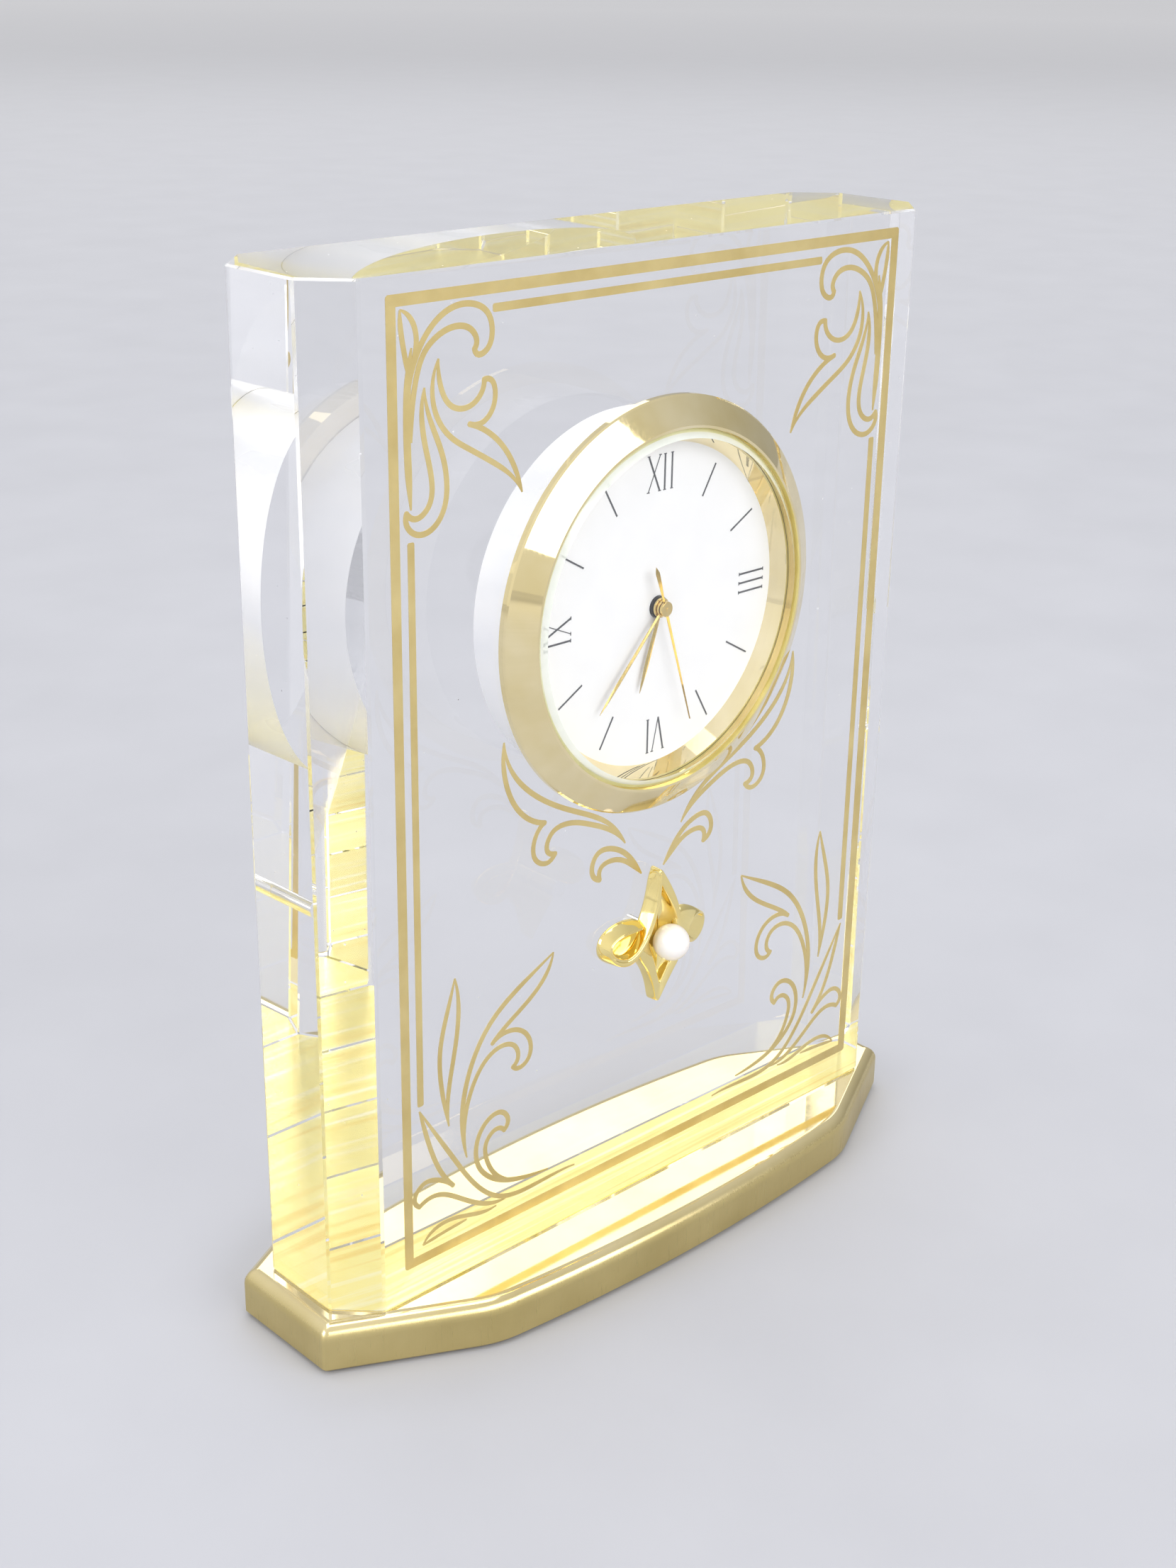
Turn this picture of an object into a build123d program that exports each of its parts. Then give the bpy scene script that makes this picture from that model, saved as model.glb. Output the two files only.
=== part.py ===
from build123d import *
import math
import os

# Desk clock: a clear block on a gilt base, with a press-in quartz clock, gilt line
# ornament on its front face and a small cast ornament that carries a pearl.
# Millimetres. The origin is on the table under the middle of the base, +Z is up and
# the dial faces -Y.

# ---------------------------------------------------------------- driving dimensions

# clear block
BLOCK_WIDTH = 95.0
BLOCK_DEPTH = 20.5
BLOCK_HEIGHT = 120.0
BLOCK_CORNER_CUT = 4.6
BLOCK_EDGE_BREAK = 0.25

# base
BASE_LENGTH = 100.6
BASE_DEPTH = 39.5
BASE_HEIGHT = 6.1
BASE_END_DEPTH = 16.1
BASE_SHOULDER_X = 31.5
BASE_SHOULDER_DEPTH = 35.7
BASE_SHOULDER_RADIUS = 14.0
BASE_END_RADIUS = 0.8
BASE_TOP_RADIUS = 1.8
BASE_FOOT_BREAK = 0.4
BOND_THICKNESS = 0.1
BOND_INSET = 0.3
PAD_THICKNESS = 0.8
PAD_PROUD = 0.3
PAD_INSET = 2.0
PAD_CLEARANCE = 0.1

# where the clock and the ornament sit on the front face, above the block's foot
CLOCK_HEIGHT = 78.0
ORNAMENT_HEIGHT = 35.7

# bezel, lens, reflector and dial (radii, and heights in front of the block's face)
BEZEL_OVERLAP = 2.5
BEZEL_EDGE_HEIGHT = 0.9
BEZEL_EDGE_BREAK = 0.2
BEZEL_RIM_HEIGHT = 2.8
BEZEL_RIM_WIDTH = 0.3
BEZEL_SPIGOT_LENGTH = 2.0
BEZEL_SPIGOT_WALL = 0.65
LENS_LEDGE = 0.65
LENS_THICKNESS = 1.3
LENS_SEAT_HEIGHT = 1.6
LENS_BEVEL_HEIGHT = 0.5
LENS_BEVEL_WIDTH = 1.1
DIAL_HEIGHT = -0.3
DIAL_THICKNESS = 0.4
REFLECTOR_WIDTH = 1.3
REFLECTOR_RIM = 0.25
MARKER_THICKNESS = 0.05

# housing
BORE_RADIUS = 22.5
BORE_DEPTH = 13.0
CUP_WALL = 0.6
CUP_GROOVE_DEPTH = 0.15
CUP_FRONT = -0.5
CUP_BACK = -11.6
GRIP_FRONT = -3.0
GRIP_BACK = -9.0
GRIP_RIB_PITCH = 1.5
GRIP_RIB_WIDTH = 0.7
GRIP_RIB_HEIGHT = 0.15
GRIP_PROUD = 0.4

# clearances
FIT = 0.05
SEAT_GAP = 0.05
FLOAT_GAP = 0.02

# movement plates
PLATE_FRONT = -2.6
PLATE_THICKNESS = 1.0
PLATE_RIM_WALL = 1.4
BACK_PLATE_FRONT = -8.0
BACK_PLATE_THICKNESS = 0.6
BACK_PLATE_MARGIN = 1.45
PILLAR_RADIUS = 1.3
PILLAR_MARGIN = 1.7
PILLAR_ANGLES = (5.0, 80.0, 185.0, 262.0)
SCREW_RADIUS = 0.6
SCREW_HEAD_RADIUS = 1.1
SCREW_HEAD_HEIGHT = 0.5
SCREW_SLOT_WIDTH = 0.25
SCREW_SLOT_DEPTH = 0.25
SCREW_BITE = 2.5

# centre stack (radii)
SECONDS_ARBOR_RADIUS = 0.2
CENTRE_TUBE_WALL = 0.2
CANNON_WALL = 0.25
HOUR_TUBE_WALL = 0.25
CENTRE_NUT_WALL = 0.2
CENTRE_NUT_HEIGHT = 0.35
ARBOR_RADIUS = 0.35
PIVOT_RADIUS = 0.2
SETTING_ARBOR_RADIUS = 0.5

# going train: teeth and modules
ROTOR_TEETH = 8
STEP_WHEEL_TEETH = 48
STEP_PINION_TEETH = 10
SECONDS_WHEEL_TEETH = 50
SECONDS_PINION_TEETH = 8
THIRD_WHEEL_TEETH = 60
THIRD_PINION_TEETH = 8
CENTRE_WHEEL_TEETH = 64
STEP_MODULE = 0.2
CENTRE_MODULE = 0.25
WHEEL_CLEARANCE = 0.45

# motion work: teeth and module
CANNON_TEETH = 12
MINUTE_WHEEL_TEETH = 36
MINUTE_PINION_TEETH = 10
HOUR_WHEEL_TEETH = 40
SETTING_WHEEL_TEETH = 30
MOTION_MODULE = 0.2

# tooth form, as shares of the module
ADDENDUM = 0.8
DEDENDUM = 1.15
BACKLASH = 0.14
TIP_HALF_WIDTH = 0.36

# directions of the wheel centres, seen from the front, from 3 o'clock anticlockwise
THIRD_DIRECTION = 100.0
STEP_DIRECTION = -20.0
ROTOR_DIRECTION = -35.0
MINUTE_WHEEL_DIRECTION = 180.0
SETTING_DIRECTION = 150.0

# levels of the wheels: (back, front) heights
HOUR_WHEEL_LEVEL = (-1.5, -1.0)
MINUTE_PINION_LEVEL = (-1.6, -0.95)
MINUTE_WHEEL_LEVEL = (-2.2, -1.8)
CANNON_PINION_LEVEL = (-2.3, -1.7)
CENTRE_WHEEL_LEVEL = (-4.3, -3.9)
THIRD_PINION_LEVEL = (-4.5, -3.8)
THIRD_WHEEL_LEVEL = (-5.4, -5.0)
SECONDS_PINION_LEVEL = (-5.5, -4.9)
SECONDS_WHEEL_LEVEL = (-6.5, -6.1)
STEP_PINION_LEVEL = (-6.6, -6.0)
STEP_WHEEL_LEVEL = (-7.3, -7.0)
ROTOR_PINION_LEVEL = (-7.4, -6.9)
ROTOR_MAGNET_LEVEL = (-6.5, -5.3)
ROTOR_MAGNET_RADIUS = 1.2

# hands
HOUR_HAND_ANGLE = 198.0
MINUTE_HAND_ANGLE = 222.5
SECOND_HAND_ANGLE = 162.0
HOUR_HAND_LENGTH = 10.4
MINUTE_HAND_LENGTH = 14.8
SECOND_HAND_LENGTH = 15.5
SECOND_TAIL_LENGTH = 5.2
HOUR_HAND_WIDTH = 0.75
MINUTE_HAND_WIDTH = 0.55
SECOND_HAND_WIDTH = 0.24
SECOND_TAIL_WIDTH = 0.7
HOUR_HAND_LEVEL = 0.25
MINUTE_HAND_LEVEL = 0.62
SECOND_HAND_LEVEL = 0.95
HAND_THICKNESS = 0.15
HAND_RIDGE = 0.08
HAND_BOSS_MARGIN = 0.35
CAP_HEIGHT = 0.45
CAP_RADIUS = 0.9

# dial markers
MARKER_MARGIN = 1.3
MARKER_LENGTH = 4.2
MARKER_WIDTH = 0.2
NUMERAL_THIN = 0.1
NUMERAL_THICK = 0.22
NUMERAL_SERIF = 0.42
NUMERAL_I_WIDTH = 1.15
NUMERAL_WIDE_WIDTH = 2.3
NUMERAL_LEAN = 0.92

# battery, contacts, circuit, motor
BATTERY_RADIUS = 5.8
BATTERY_HEIGHT = 5.4
BATTERY_FRONT = -4.0
BATTERY_MARGIN = 0.2
BATTERY_DIRECTION = 225.0
BATTERY_RIM = 0.5
COVER_OVERLAP = 0.6
COVER_THICKNESS = 0.6
COVER_SLOT = (8.0, 1.2)
COVER_SLOT_DEPTH = 0.4
CONTACT_WIDTH = 2.6
CONTACT_THICKNESS = 0.2
BOARD_FRONT = -8.8
BOARD_THICKNESS = 0.6
BOARD_INNER_RADIUS = 7.0
BOARD_MARGIN = 0.6
BOARD_FOOT_RADIUS = 0.65
BOARD_FOOT_TURN = 10.0
BOARD_CLEARANCE = 0.3
BOARD_SWEEP = (15.0, 148.0)
CHIP_SIZE = (4.0, 3.0, 0.8)
CHIP_CENTRE = (5.5, 12.5)
CRYSTAL_CAN_RADIUS = 0.7
CRYSTAL_CAN_LENGTH = 6.0
CRYSTAL_CAN_CENTRE = (-6.5, 13.0)
COIL_OFFSET = 6.0
COIL_MARGIN = 6.95
COIL_LENGTH = 10.5
COIL_RADIUS = 1.6
COIL_LEVEL = -5.9
BOBBIN_FLANGE = 0.6
STATOR_THICKNESS = 0.6
STATOR_BAR = 1.4
STATOR_GAP = 0.35
STATOR_POLE_WALL = 1.5
KNOB_RADIUS = 4.0
KNOB_THICKNESS = 0.9
KNOB_RIDGES = 24
KNOB_RIDGE_RADIUS = 0.25

# gilt lines on the front face
LINE_THICKNESS = 0.06
FRAME_MARGIN = 3.2
FRAME_TOP_MARGIN = 1.9
FRAME_FOOT_MARGIN = 4.3
FRAME_LINE = 1.25
INNER_GAP = 1.0
INNER_LINE = 0.9
FRAME_CORNER_RADIUS = 0.4
INNER_LINE_END_RADIUS = 0.25
INNER_TOP_INDENT = 11.75
INNER_SIDE_RISE = 21.3
INNER_SIDE_DROP = 25.5

# ornament: the casting's corners and the middles of its sides, from the ornament's centre
CASTING_TOP = (-0.4, 9.3)
CASTING_UPPER_RIGHT = (2.35, 4.9)
CASTING_RIGHT = (3.6, 0.6)
CASTING_LOWER_RIGHT = (2.3, -4.3)
CASTING_FOOT = (-0.6, -8.5)
CASTING_LOWER_LEFT = (-1.9, -4.6)
CASTING_LEFT = (-4.2, -0.9)
CASTING_UPPER_LEFT = (-1.6, 3.9)
CASTING_TIP_HALF_WIDTH = 0.45
CASTING_STAND_OFF = 0.4
CASTING_DEPTH = 1.8
CASTING_WALL = 0.6
CASTING_FLOOR = 0.7
LOOP_WALL = 0.6
LOOP_DEPTH = 1.7
LEFT_LOOP = (-6.2, 0.1, 3.1, 2.1, -14.0)
RIGHT_LOOP = (5.4, 0.4, 2.6, 1.9, 10.0)
PEARL_RADIUS = 2.3
PEARL_CENTRE = (0.8, -0.5)
PEARL_SINK = 0.5
PEG_RADIUS = 0.4
PEG_RISE = 1.8
POST_RADIUS = 1.05
POST_LENGTH = 8.0

# ---------------------------------------------------------------- places and helpers

BLOCK_FOOT = PAD_PROUD + BASE_HEIGHT + BOND_THICKNESS
FRAME_HALF_WIDTH = BLOCK_WIDTH / 2 - BLOCK_CORNER_CUT - FRAME_MARGIN
FRAME_TOP = BLOCK_HEIGHT - FRAME_TOP_MARGIN
FRONT_Y = -BLOCK_DEPTH / 2
CLOCK = Plane(origin=(0, FRONT_Y, BLOCK_FOOT + CLOCK_HEIGHT), x_dir=(1, 0, 0), z_dir=(0, -1, 0))
FACE = Plane(origin=(0, FRONT_Y, BLOCK_FOOT), x_dir=(1, 0, 0), z_dir=(0, -1, 0))
ORNAMENT = Plane(origin=(0, FRONT_Y, BLOCK_FOOT + ORNAMENT_HEIGHT), x_dir=(1, 0, 0), z_dir=(0, -1, 0))

CUP_RADIUS = BORE_RADIUS - FIT - GRIP_PROUD
CUP_INNER = CUP_RADIUS - CUP_WALL
SPIGOT_RADIUS = CUP_INNER - FIT
SPIGOT_INNER = SPIGOT_RADIUS - BEZEL_SPIGOT_WALL
LENS_RADIUS = SPIGOT_INNER + LENS_LEDGE
BEZEL_RADIUS = BORE_RADIUS + BEZEL_OVERLAP
DIAL_RADIUS = SPIGOT_INNER - FIT
DIAL_OPENING_RADIUS = DIAL_RADIUS - REFLECTOR_WIDTH
DIAL_BACK = DIAL_HEIGHT - DIAL_THICKNESS
MARKER_OUTER_RADIUS = DIAL_OPENING_RADIUS - MARKER_MARGIN
MARKER_INNER_RADIUS = MARKER_OUTER_RADIUS - MARKER_LENGTH
PLATE_BACK = PLATE_FRONT - PLATE_THICKNESS
BACK_PLATE_BACK = BACK_PLATE_FRONT - BACK_PLATE_THICKNESS
BACK_PLATE_RADIUS = CUP_INNER - BACK_PLATE_MARGIN
PILLAR_CIRCLE = BACK_PLATE_RADIUS - PILLAR_MARGIN
CUP_FLOOR = CUP_BACK + CUP_WALL
BOARD_BACK = BOARD_FRONT - BOARD_THICKNESS
BOARD_OUTER_RADIUS = BACK_PLATE_RADIUS - BOARD_MARGIN
COVER_RADIUS = BATTERY_RADIUS + COVER_OVERLAP
BATTERY_CIRCLE = CUP_INNER - COVER_RADIUS - BATTERY_MARGIN
COIL_CENTRE = (COIL_OFFSET, COIL_MARGIN - CUP_INNER)

CENTRE_TUBE_INNER = SECONDS_ARBOR_RADIUS + FIT
CENTRE_TUBE_RADIUS = CENTRE_TUBE_INNER + CENTRE_TUBE_WALL
CANNON_INNER = CENTRE_TUBE_RADIUS + FIT
CANNON_RADIUS = CANNON_INNER + CANNON_WALL
HOUR_TUBE_INNER = CANNON_RADIUS + FIT
HOUR_TUBE_RADIUS = HOUR_TUBE_INNER + HOUR_TUBE_WALL
NUT_INNER = HOUR_TUBE_RADIUS + FIT
NUT_RADIUS = NUT_INNER + CENTRE_NUT_WALL

THIRD_DISTANCE = CENTRE_MODULE * (THIRD_PINION_TEETH + CENTRE_WHEEL_TEETH) / 2
THIRD_MODULE = 2 * THIRD_DISTANCE / (SECONDS_PINION_TEETH + THIRD_WHEEL_TEETH)
STEP_DISTANCE = CENTRE_MODULE * (CENTRE_WHEEL_TEETH / 2 + ADDENDUM) + WHEEL_CLEARANCE + ARBOR_RADIUS
SECONDS_MODULE = 2 * STEP_DISTANCE / (STEP_PINION_TEETH + SECONDS_WHEEL_TEETH)
ROTOR_DISTANCE = STEP_MODULE * (ROTOR_TEETH + STEP_WHEEL_TEETH) / 2
MINUTE_DISTANCE = MOTION_MODULE * (CANNON_TEETH + MINUTE_WHEEL_TEETH) / 2
HOUR_MODULE = 2 * MINUTE_DISTANCE / (MINUTE_PINION_TEETH + HOUR_WHEEL_TEETH)
SETTING_DISTANCE = MOTION_MODULE * (MINUTE_WHEEL_TEETH + SETTING_WHEEL_TEETH) / 2


def polar(radius, degrees, origin=(0.0, 0.0)):
    """A point at a radius and direction from an origin."""
    turn = math.radians(degrees)
    return (origin[0] + radius * math.cos(turn), origin[1] + radius * math.sin(turn))


THIRD_CENTRE = polar(THIRD_DISTANCE, THIRD_DIRECTION)
STEP_CENTRE = polar(STEP_DISTANCE, STEP_DIRECTION)
ROTOR_CENTRE = polar(ROTOR_DISTANCE, ROTOR_DIRECTION, STEP_CENTRE)
MINUTE_CENTRE = polar(MINUTE_DISTANCE, MINUTE_WHEEL_DIRECTION)
SETTING_CENTRE = polar(SETTING_DISTANCE, SETTING_DIRECTION, MINUTE_CENTRE)
BATTERY_CENTRE = polar(BATTERY_CIRCLE, BATTERY_DIRECTION)


def disc(radius, low, high, centre=(0.0, 0.0)):
    """A cylinder between two heights."""
    return Pos(centre[0], centre[1], (low + high) / 2) * Cylinder(radius, high - low)


def tube(outer, inner, low, high, centre=(0.0, 0.0)):
    """A ring between two heights."""
    return disc(outer, low, high, centre) - disc(inner, low, high, centre)


def slab(size_x, size_y, low, high, centre=(0.0, 0.0)):
    """A rectangular plate between two heights."""
    return Pos(centre[0], centre[1], (low + high) / 2) * Box(size_x, size_y, high - low)


def turned(*profile):
    """A solid of revolution about the local axis, from (radius, height) corners."""
    outline = Polyline([(radius, 0, height) for radius, height in profile], close=True)
    return revolve(make_face(outline), axis=Axis.Z)


def flat(points, low, high):
    """A prism between two heights over a closed outline of straight sides."""
    face = make_face(Polyline([(x, y) for x, y in points], close=True))
    return Pos(0, 0, low) * extrude(face, high - low)


def mate_phase(own_teeth, own_phase, mate_teeth, direction):
    """The turn, in degrees, that puts a mating gear in mesh across a line of centres."""
    offset = (own_phase - direction) * own_teeth / 360
    return direction + 180 - (offset + 0.5) * 360 / mate_teeth


def gear_outline(teeth, module, phase):
    """The corners of a toothed wheel with straight-sided teeth."""
    pitch = teeth * module / 2
    root = pitch - DEDENDUM * module
    tip = pitch + ADDENDUM * module
    half_pitch_turn = (math.pi / 4 - BACKLASH) * module / pitch
    half_tip_turn = TIP_HALF_WIDTH * module / tip
    corners = []
    for index in range(teeth):
        middle = math.radians(phase) + 2 * math.pi * index / teeth
        for radius, turn in (
            (root, -half_pitch_turn),
            (pitch, -half_pitch_turn),
            (tip, -half_tip_turn),
            (tip, half_tip_turn),
            (pitch, half_pitch_turn),
            (root, half_pitch_turn),
        ):
            corners.append((radius * math.cos(middle + turn), radius * math.sin(middle + turn)))
    return corners


def gear(teeth, module, level, phase, centre=(0.0, 0.0)):
    """A toothed wheel between two heights."""
    corners = [(x + centre[0], y + centre[1]) for x, y in gear_outline(teeth, module, phase)]
    return flat(corners, level[0], level[1])


# ---------------------------------------------------------------- block, base and pad


def block_plan(inset=0.0):
    """The block's plan: a rectangle with its four corners cut."""
    half_x = BLOCK_WIDTH / 2 - inset
    half_y = BLOCK_DEPTH / 2 - inset
    cut = BLOCK_CORNER_CUT - inset * (2 - math.sqrt(2))
    corners = []
    for sign_x, sign_y in ((1, -1), (1, 1), (-1, 1), (-1, -1)):
        pair = [(sign_x * (half_x - cut), sign_y * half_y), (sign_x * half_x, sign_y * (half_y - cut))]
        if sign_x * sign_y > 0:
            pair.reverse()
        corners += pair
    return corners


def make_block():
    """The clear block, with the clock's blind bore and the ornament's blind hole."""
    body = flat(block_plan(), BLOCK_FOOT, BLOCK_FOOT + BLOCK_HEIGHT)
    body = chamfer(body.edges(), BLOCK_EDGE_BREAK)
    bore = CLOCK * disc(BORE_RADIUS, -BORE_DEPTH, 1)
    post_hole = ORNAMENT * disc(POST_RADIUS + FIT, -POST_LENGTH - SEAT_GAP, 1)
    return body - bore - post_hole


def base_plan(inset=0.0):
    """The base's plan: straight ends, slanting shoulders and bowed long sides."""
    half_x = BASE_LENGTH / 2
    end_y = BASE_END_DEPTH / 2
    shoulder_y = BASE_SHOULDER_DEPTH / 2
    shoulder_x = BASE_SHOULDER_X
    front = ThreePointArc((-shoulder_x, -shoulder_y), (0, -BASE_DEPTH / 2), (shoulder_x, -shoulder_y))
    back = ThreePointArc((shoulder_x, shoulder_y), (0, BASE_DEPTH / 2), (-shoulder_x, shoulder_y))
    right = Polyline((shoulder_x, -shoulder_y), (half_x, -end_y), (half_x, end_y), (shoulder_x, shoulder_y))
    left = Polyline((-shoulder_x, shoulder_y), (-half_x, end_y), (-half_x, -end_y), (-shoulder_x, -shoulder_y))
    face = make_face(front + right + back + left)
    shoulders = [v for v in face.vertices() if abs(abs(v.X) - BASE_SHOULDER_X) < 0.01]
    face = fillet(shoulders, BASE_SHOULDER_RADIUS)
    ends = [v for v in face.vertices() if abs(abs(v.X) - half_x) < 0.01]
    face = fillet(ends, BASE_END_RADIUS)
    if inset:
        face = offset(face, -inset)
    return face


def make_base():
    """The gilt base: rounded along its top, with a shallow recess under it for the pad."""
    body = Pos(0, 0, PAD_PROUD) * extrude(base_plan(), BASE_HEIGHT)
    body = fillet(body.faces().sort_by(Axis.Z)[-1].edges(), BASE_TOP_RADIUS)
    body = chamfer(body.faces().sort_by(Axis.Z)[0].edges(), BASE_FOOT_BREAK)
    recess = extrude(base_plan(PAD_INSET - PAD_CLEARANCE), PAD_THICKNESS)
    return body - recess


def make_pad():
    """The felt pad under the base."""
    return extrude(base_plan(PAD_INSET), PAD_THICKNESS)


def make_bond():
    """The thin adhesive sheet that holds the block to the base."""
    return flat(block_plan(BOND_INSET), PAD_PROUD + BASE_HEIGHT, BLOCK_FOOT - FLOAT_GAP)


# ---------------------------------------------------------------- gilt line ornament


def line_prism(face):
    """A gilt line of the frame or the scrolls, a hair in front of the glass."""
    return Pos(0, 0, FLOAT_GAP) * extrude(face, LINE_THICKNESS)


def make_outer_frame():
    """The outer gilt rectangle."""
    half = FRAME_HALF_WIDTH
    low = FRAME_FOOT_MARGIN
    high = FRAME_TOP
    middle = Pos(0, (low + high) / 2)
    face = middle * RectangleRounded(2 * half, high - low, FRAME_CORNER_RADIUS)
    face -= middle * Rectangle(2 * (half - FRAME_LINE), high - low - 2 * FRAME_LINE)
    return FACE * line_prism(face)


def make_inner_frame():
    """The inner gilt lines, broken at the corners where the scrolls stand."""
    half = FRAME_HALF_WIDTH - FRAME_LINE - INNER_GAP
    top = FRAME_TOP - FRAME_LINE - INNER_GAP
    end = INNER_LINE_END_RADIUS
    faces = [Pos(0, top - INNER_LINE / 2) * RectangleRounded(2 * (half - INNER_TOP_INDENT), INNER_LINE, end)]
    low = FRAME_FOOT_MARGIN + INNER_SIDE_RISE
    high = FRAME_TOP - INNER_SIDE_DROP
    for side in (-1, 1):
        place = Pos(side * (half - INNER_LINE / 2), (low + high) / 2)
        faces.append(place * RectangleRounded(INNER_LINE, high - low, end))
    return FACE * Compound(children=[line_prism(face) for face in faces])


# Each stroke is a smooth line through hand-set points on the left half of the face, as
# (x, height) from its anchor. Its widest half width follows, and then the ends at which
# it thins to a point: "both", "start", "end" or "none".

# from the upper left corner of the outer frame
UPPER_CORNER_STROKES = [
    # stem and bud
    (((2.8, -22.1), (2.55, -18.1), (2.45, -13.1), (2.75, -8.1), (3.2, -5.5)), 0.46, "both"),
    (((1.8, -1.6), (1.95, -4.1), (2.4, -6.5), (2.8, -8.6)), 0.31, "both"),
    (((1.8, -1.6), (3.3, -2.8), (3.85, -4.7), (3.5, -6.7), (2.9, -8.5)), 0.31, "both"),
    # upper scroll
    (((2.7, -11.1), (3.6, -6.9), (5.3, -4.2), (7.9, -2.3), (10.8, -1.9), (13.3, -3.1), (13.9, -5.2),
      (13.1, -6.9), (11.9, -7.2), (11.5, -6.6)), 0.33, "start"),
    (((11.5, -6.6), (11.8, -5.8), (11.1, -4.6), (9.1, -4.0), (6.8, -4.6), (4.9, -6.1), (3.8, -8.5),
      (3.2, -11.6), (3.0, -15.1)), 0.33, "end"),
    # lower curl
    (((4.8, -9.7), (5.4, -12.8), (6.9, -16.5), (7.6, -19.8), (7.1, -22.9), (5.5, -24.6), (3.5, -24.8),
      (2.2, -23.6), (2.2, -22.4)), 0.33, "start"),
    (((4.8, -9.7), (4.4, -12.5), (4.9, -16.1), (5.6, -19.5), (5.2, -22.0), (3.7, -23.1),
      (2.2, -22.4)), 0.33, "start"),
    # long leaf
    (((6.7, -7.0), (5.9, -9.3), (6.1, -12.1), (7.8, -14.9), (10.7, -16.9), (14.1, -18.9),
      (16.8, -20.9), (18.1, -22.7)), 0.31, "both"),
    (((6.7, -7.0), (6.9, -9.7), (8.4, -12.1), (10.4, -12.5), (12.2, -11.5), (12.8, -9.9)), 0.31, "start"),
    (((12.8, -9.9), (13.8, -10.1), (14.3, -11.8), (13.5, -13.7), (10.8, -14.3)), 0.31, "none"),
    (((10.8, -14.3), (13.6, -15.7), (16.0, -18.1), (17.4, -20.7), (18.1, -22.7)), 0.31, "end"),
]

# from the lower left corner of the outer frame
LOWER_CORNER_STROKES = [
    # tall leaf
    (((8.0, 36.0), (6.8, 31.9), (5.7, 27.2), (5.9, 22.2), (6.9, 17.0)), 0.31, "both"),
    (((8.0, 36.0), (8.5, 31.2), (7.7, 25.7), (6.8, 20.7), (6.9, 17.0)), 0.31, "both"),
    # sweeping leaf and scroll
    (((9.6, 11.6), (8.9, 16.7), (10.3, 23.5), (13.4, 28.3), (18.0, 31.5), (23.3, 34.2)), 0.35, "both"),
    (((23.3, 34.2), (21.5, 30.9), (18.1, 28.4), (13.7, 25.5)), 0.31, "start"),
    (((13.7, 25.5), (16.1, 26.2), (18.5, 25.3), (19.7, 23.2), (19.3, 21.3), (17.9, 20.6),
      (16.9, 21.1)), 0.31, "none"),
    (((16.9, 21.1), (17.7, 22.1), (17.2, 23.8), (15.3, 24.6), (12.5, 23.5), (10.5, 20.7), (9.3, 16.7),
      (9.6, 11.6)), 0.31, "end"),
    # small curl
    (((15.5, 13.0), (16.1, 14.3), (14.9, 15.7), (12.8, 15.3), (11.2, 13.0), (11.3, 9.9), (13.5, 7.1),
      (17.3, 5.3), (22.7, 4.5)), 0.33, "end"),
    (((15.5, 13.0), (14.1, 13.6), (12.7, 12.5), (12.7, 10.0), (14.5, 6.9), (18.1, 5.1)), 0.31, "end"),
    # side leaf
    (((2.5, 20.7), (4.9, 16.7), (7.7, 12.1), (10.9, 7.3), (14.9, 3.9), (20.7, 3.2),
      (27.2, 3.2)), 0.31, "both"),
    (((2.5, 20.7), (3.7, 16.3), (5.3, 11.9), (7.4, 8.7)), 0.31, "start"),
    (((7.4, 8.7), (5.1, 10.4), (2.8, 10.7), (1.6, 9.3), (2.3, 7.9)), 0.31, "none"),
    (((2.3, 7.9), (4.9, 8.4), (8.1, 6.7), (11.5, 4.4), (15.7, 3.3)), 0.31, "end"),
    # low leaf
    (((2.7, 2.4), (4.7, 3.9), (7.7, 4.0), (10.7, 3.2), (14.2, 2.9)), 0.28, "both"),
    (((2.7, 2.4), (5.9, 2.8), (9.5, 3.0)), 0.23, "both"),
]

# from the clock's centre
CRADLE_STROKES = [
    # scroll that cradles the bezel
    (((-24.2, -10.8), (-24.0, -15.4), (-22.2, -19.4), (-18.0, -22.3)), 0.33, "start"),
    (((-18.0, -22.3), (-19.6, -24.3), (-19.4, -26.5), (-17.8, -27.5), (-16.3, -26.7)), 0.31, "none"),
    (((-16.3, -26.7), (-17.6, -25.8), (-16.9, -24.0), (-14.6, -23.4), (-10.6, -24.6), (-7.0, -26.5),
      (-4.8, -28.7)), 0.33, "end"),
    (((-24.2, -10.8), (-22.9, -14.8), (-19.8, -18.2), (-13.6, -22.0), (-8.2, -24.9),
      (-4.8, -28.7)), 0.33, "both"),
]

# from the ornament's centre
HOOK_STROKES = [
    # hook above the ornament
    (((-9.0, 10.0), (-10.3, 11.6), (-9.4, 13.5), (-7.0, 13.5), (-4.2, 11.7), (-1.9, 8.7)), 0.35, "end"),
    (((-9.0, 10.0), (-8.7, 11.6), (-6.6, 11.9), (-3.9, 10.6), (-1.9, 8.7)), 0.33, "end"),
]

SCROLL_ANCHORS = [
    (UPPER_CORNER_STROKES, (-FRAME_HALF_WIDTH, FRAME_TOP)),
    (LOWER_CORNER_STROKES, (-FRAME_HALF_WIDTH, FRAME_FOOT_MARGIN)),
    (CRADLE_STROKES, (0, CLOCK_HEIGHT)),
    (HOOK_STROKES, (0, ORNAMENT_HEIGHT)),
]
STROKE_STEPS = 8
STROKE_LEAD = 0.28
STROKE_TIP = 0.1
SCROLL_CLEARANCE = 0.3


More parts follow.
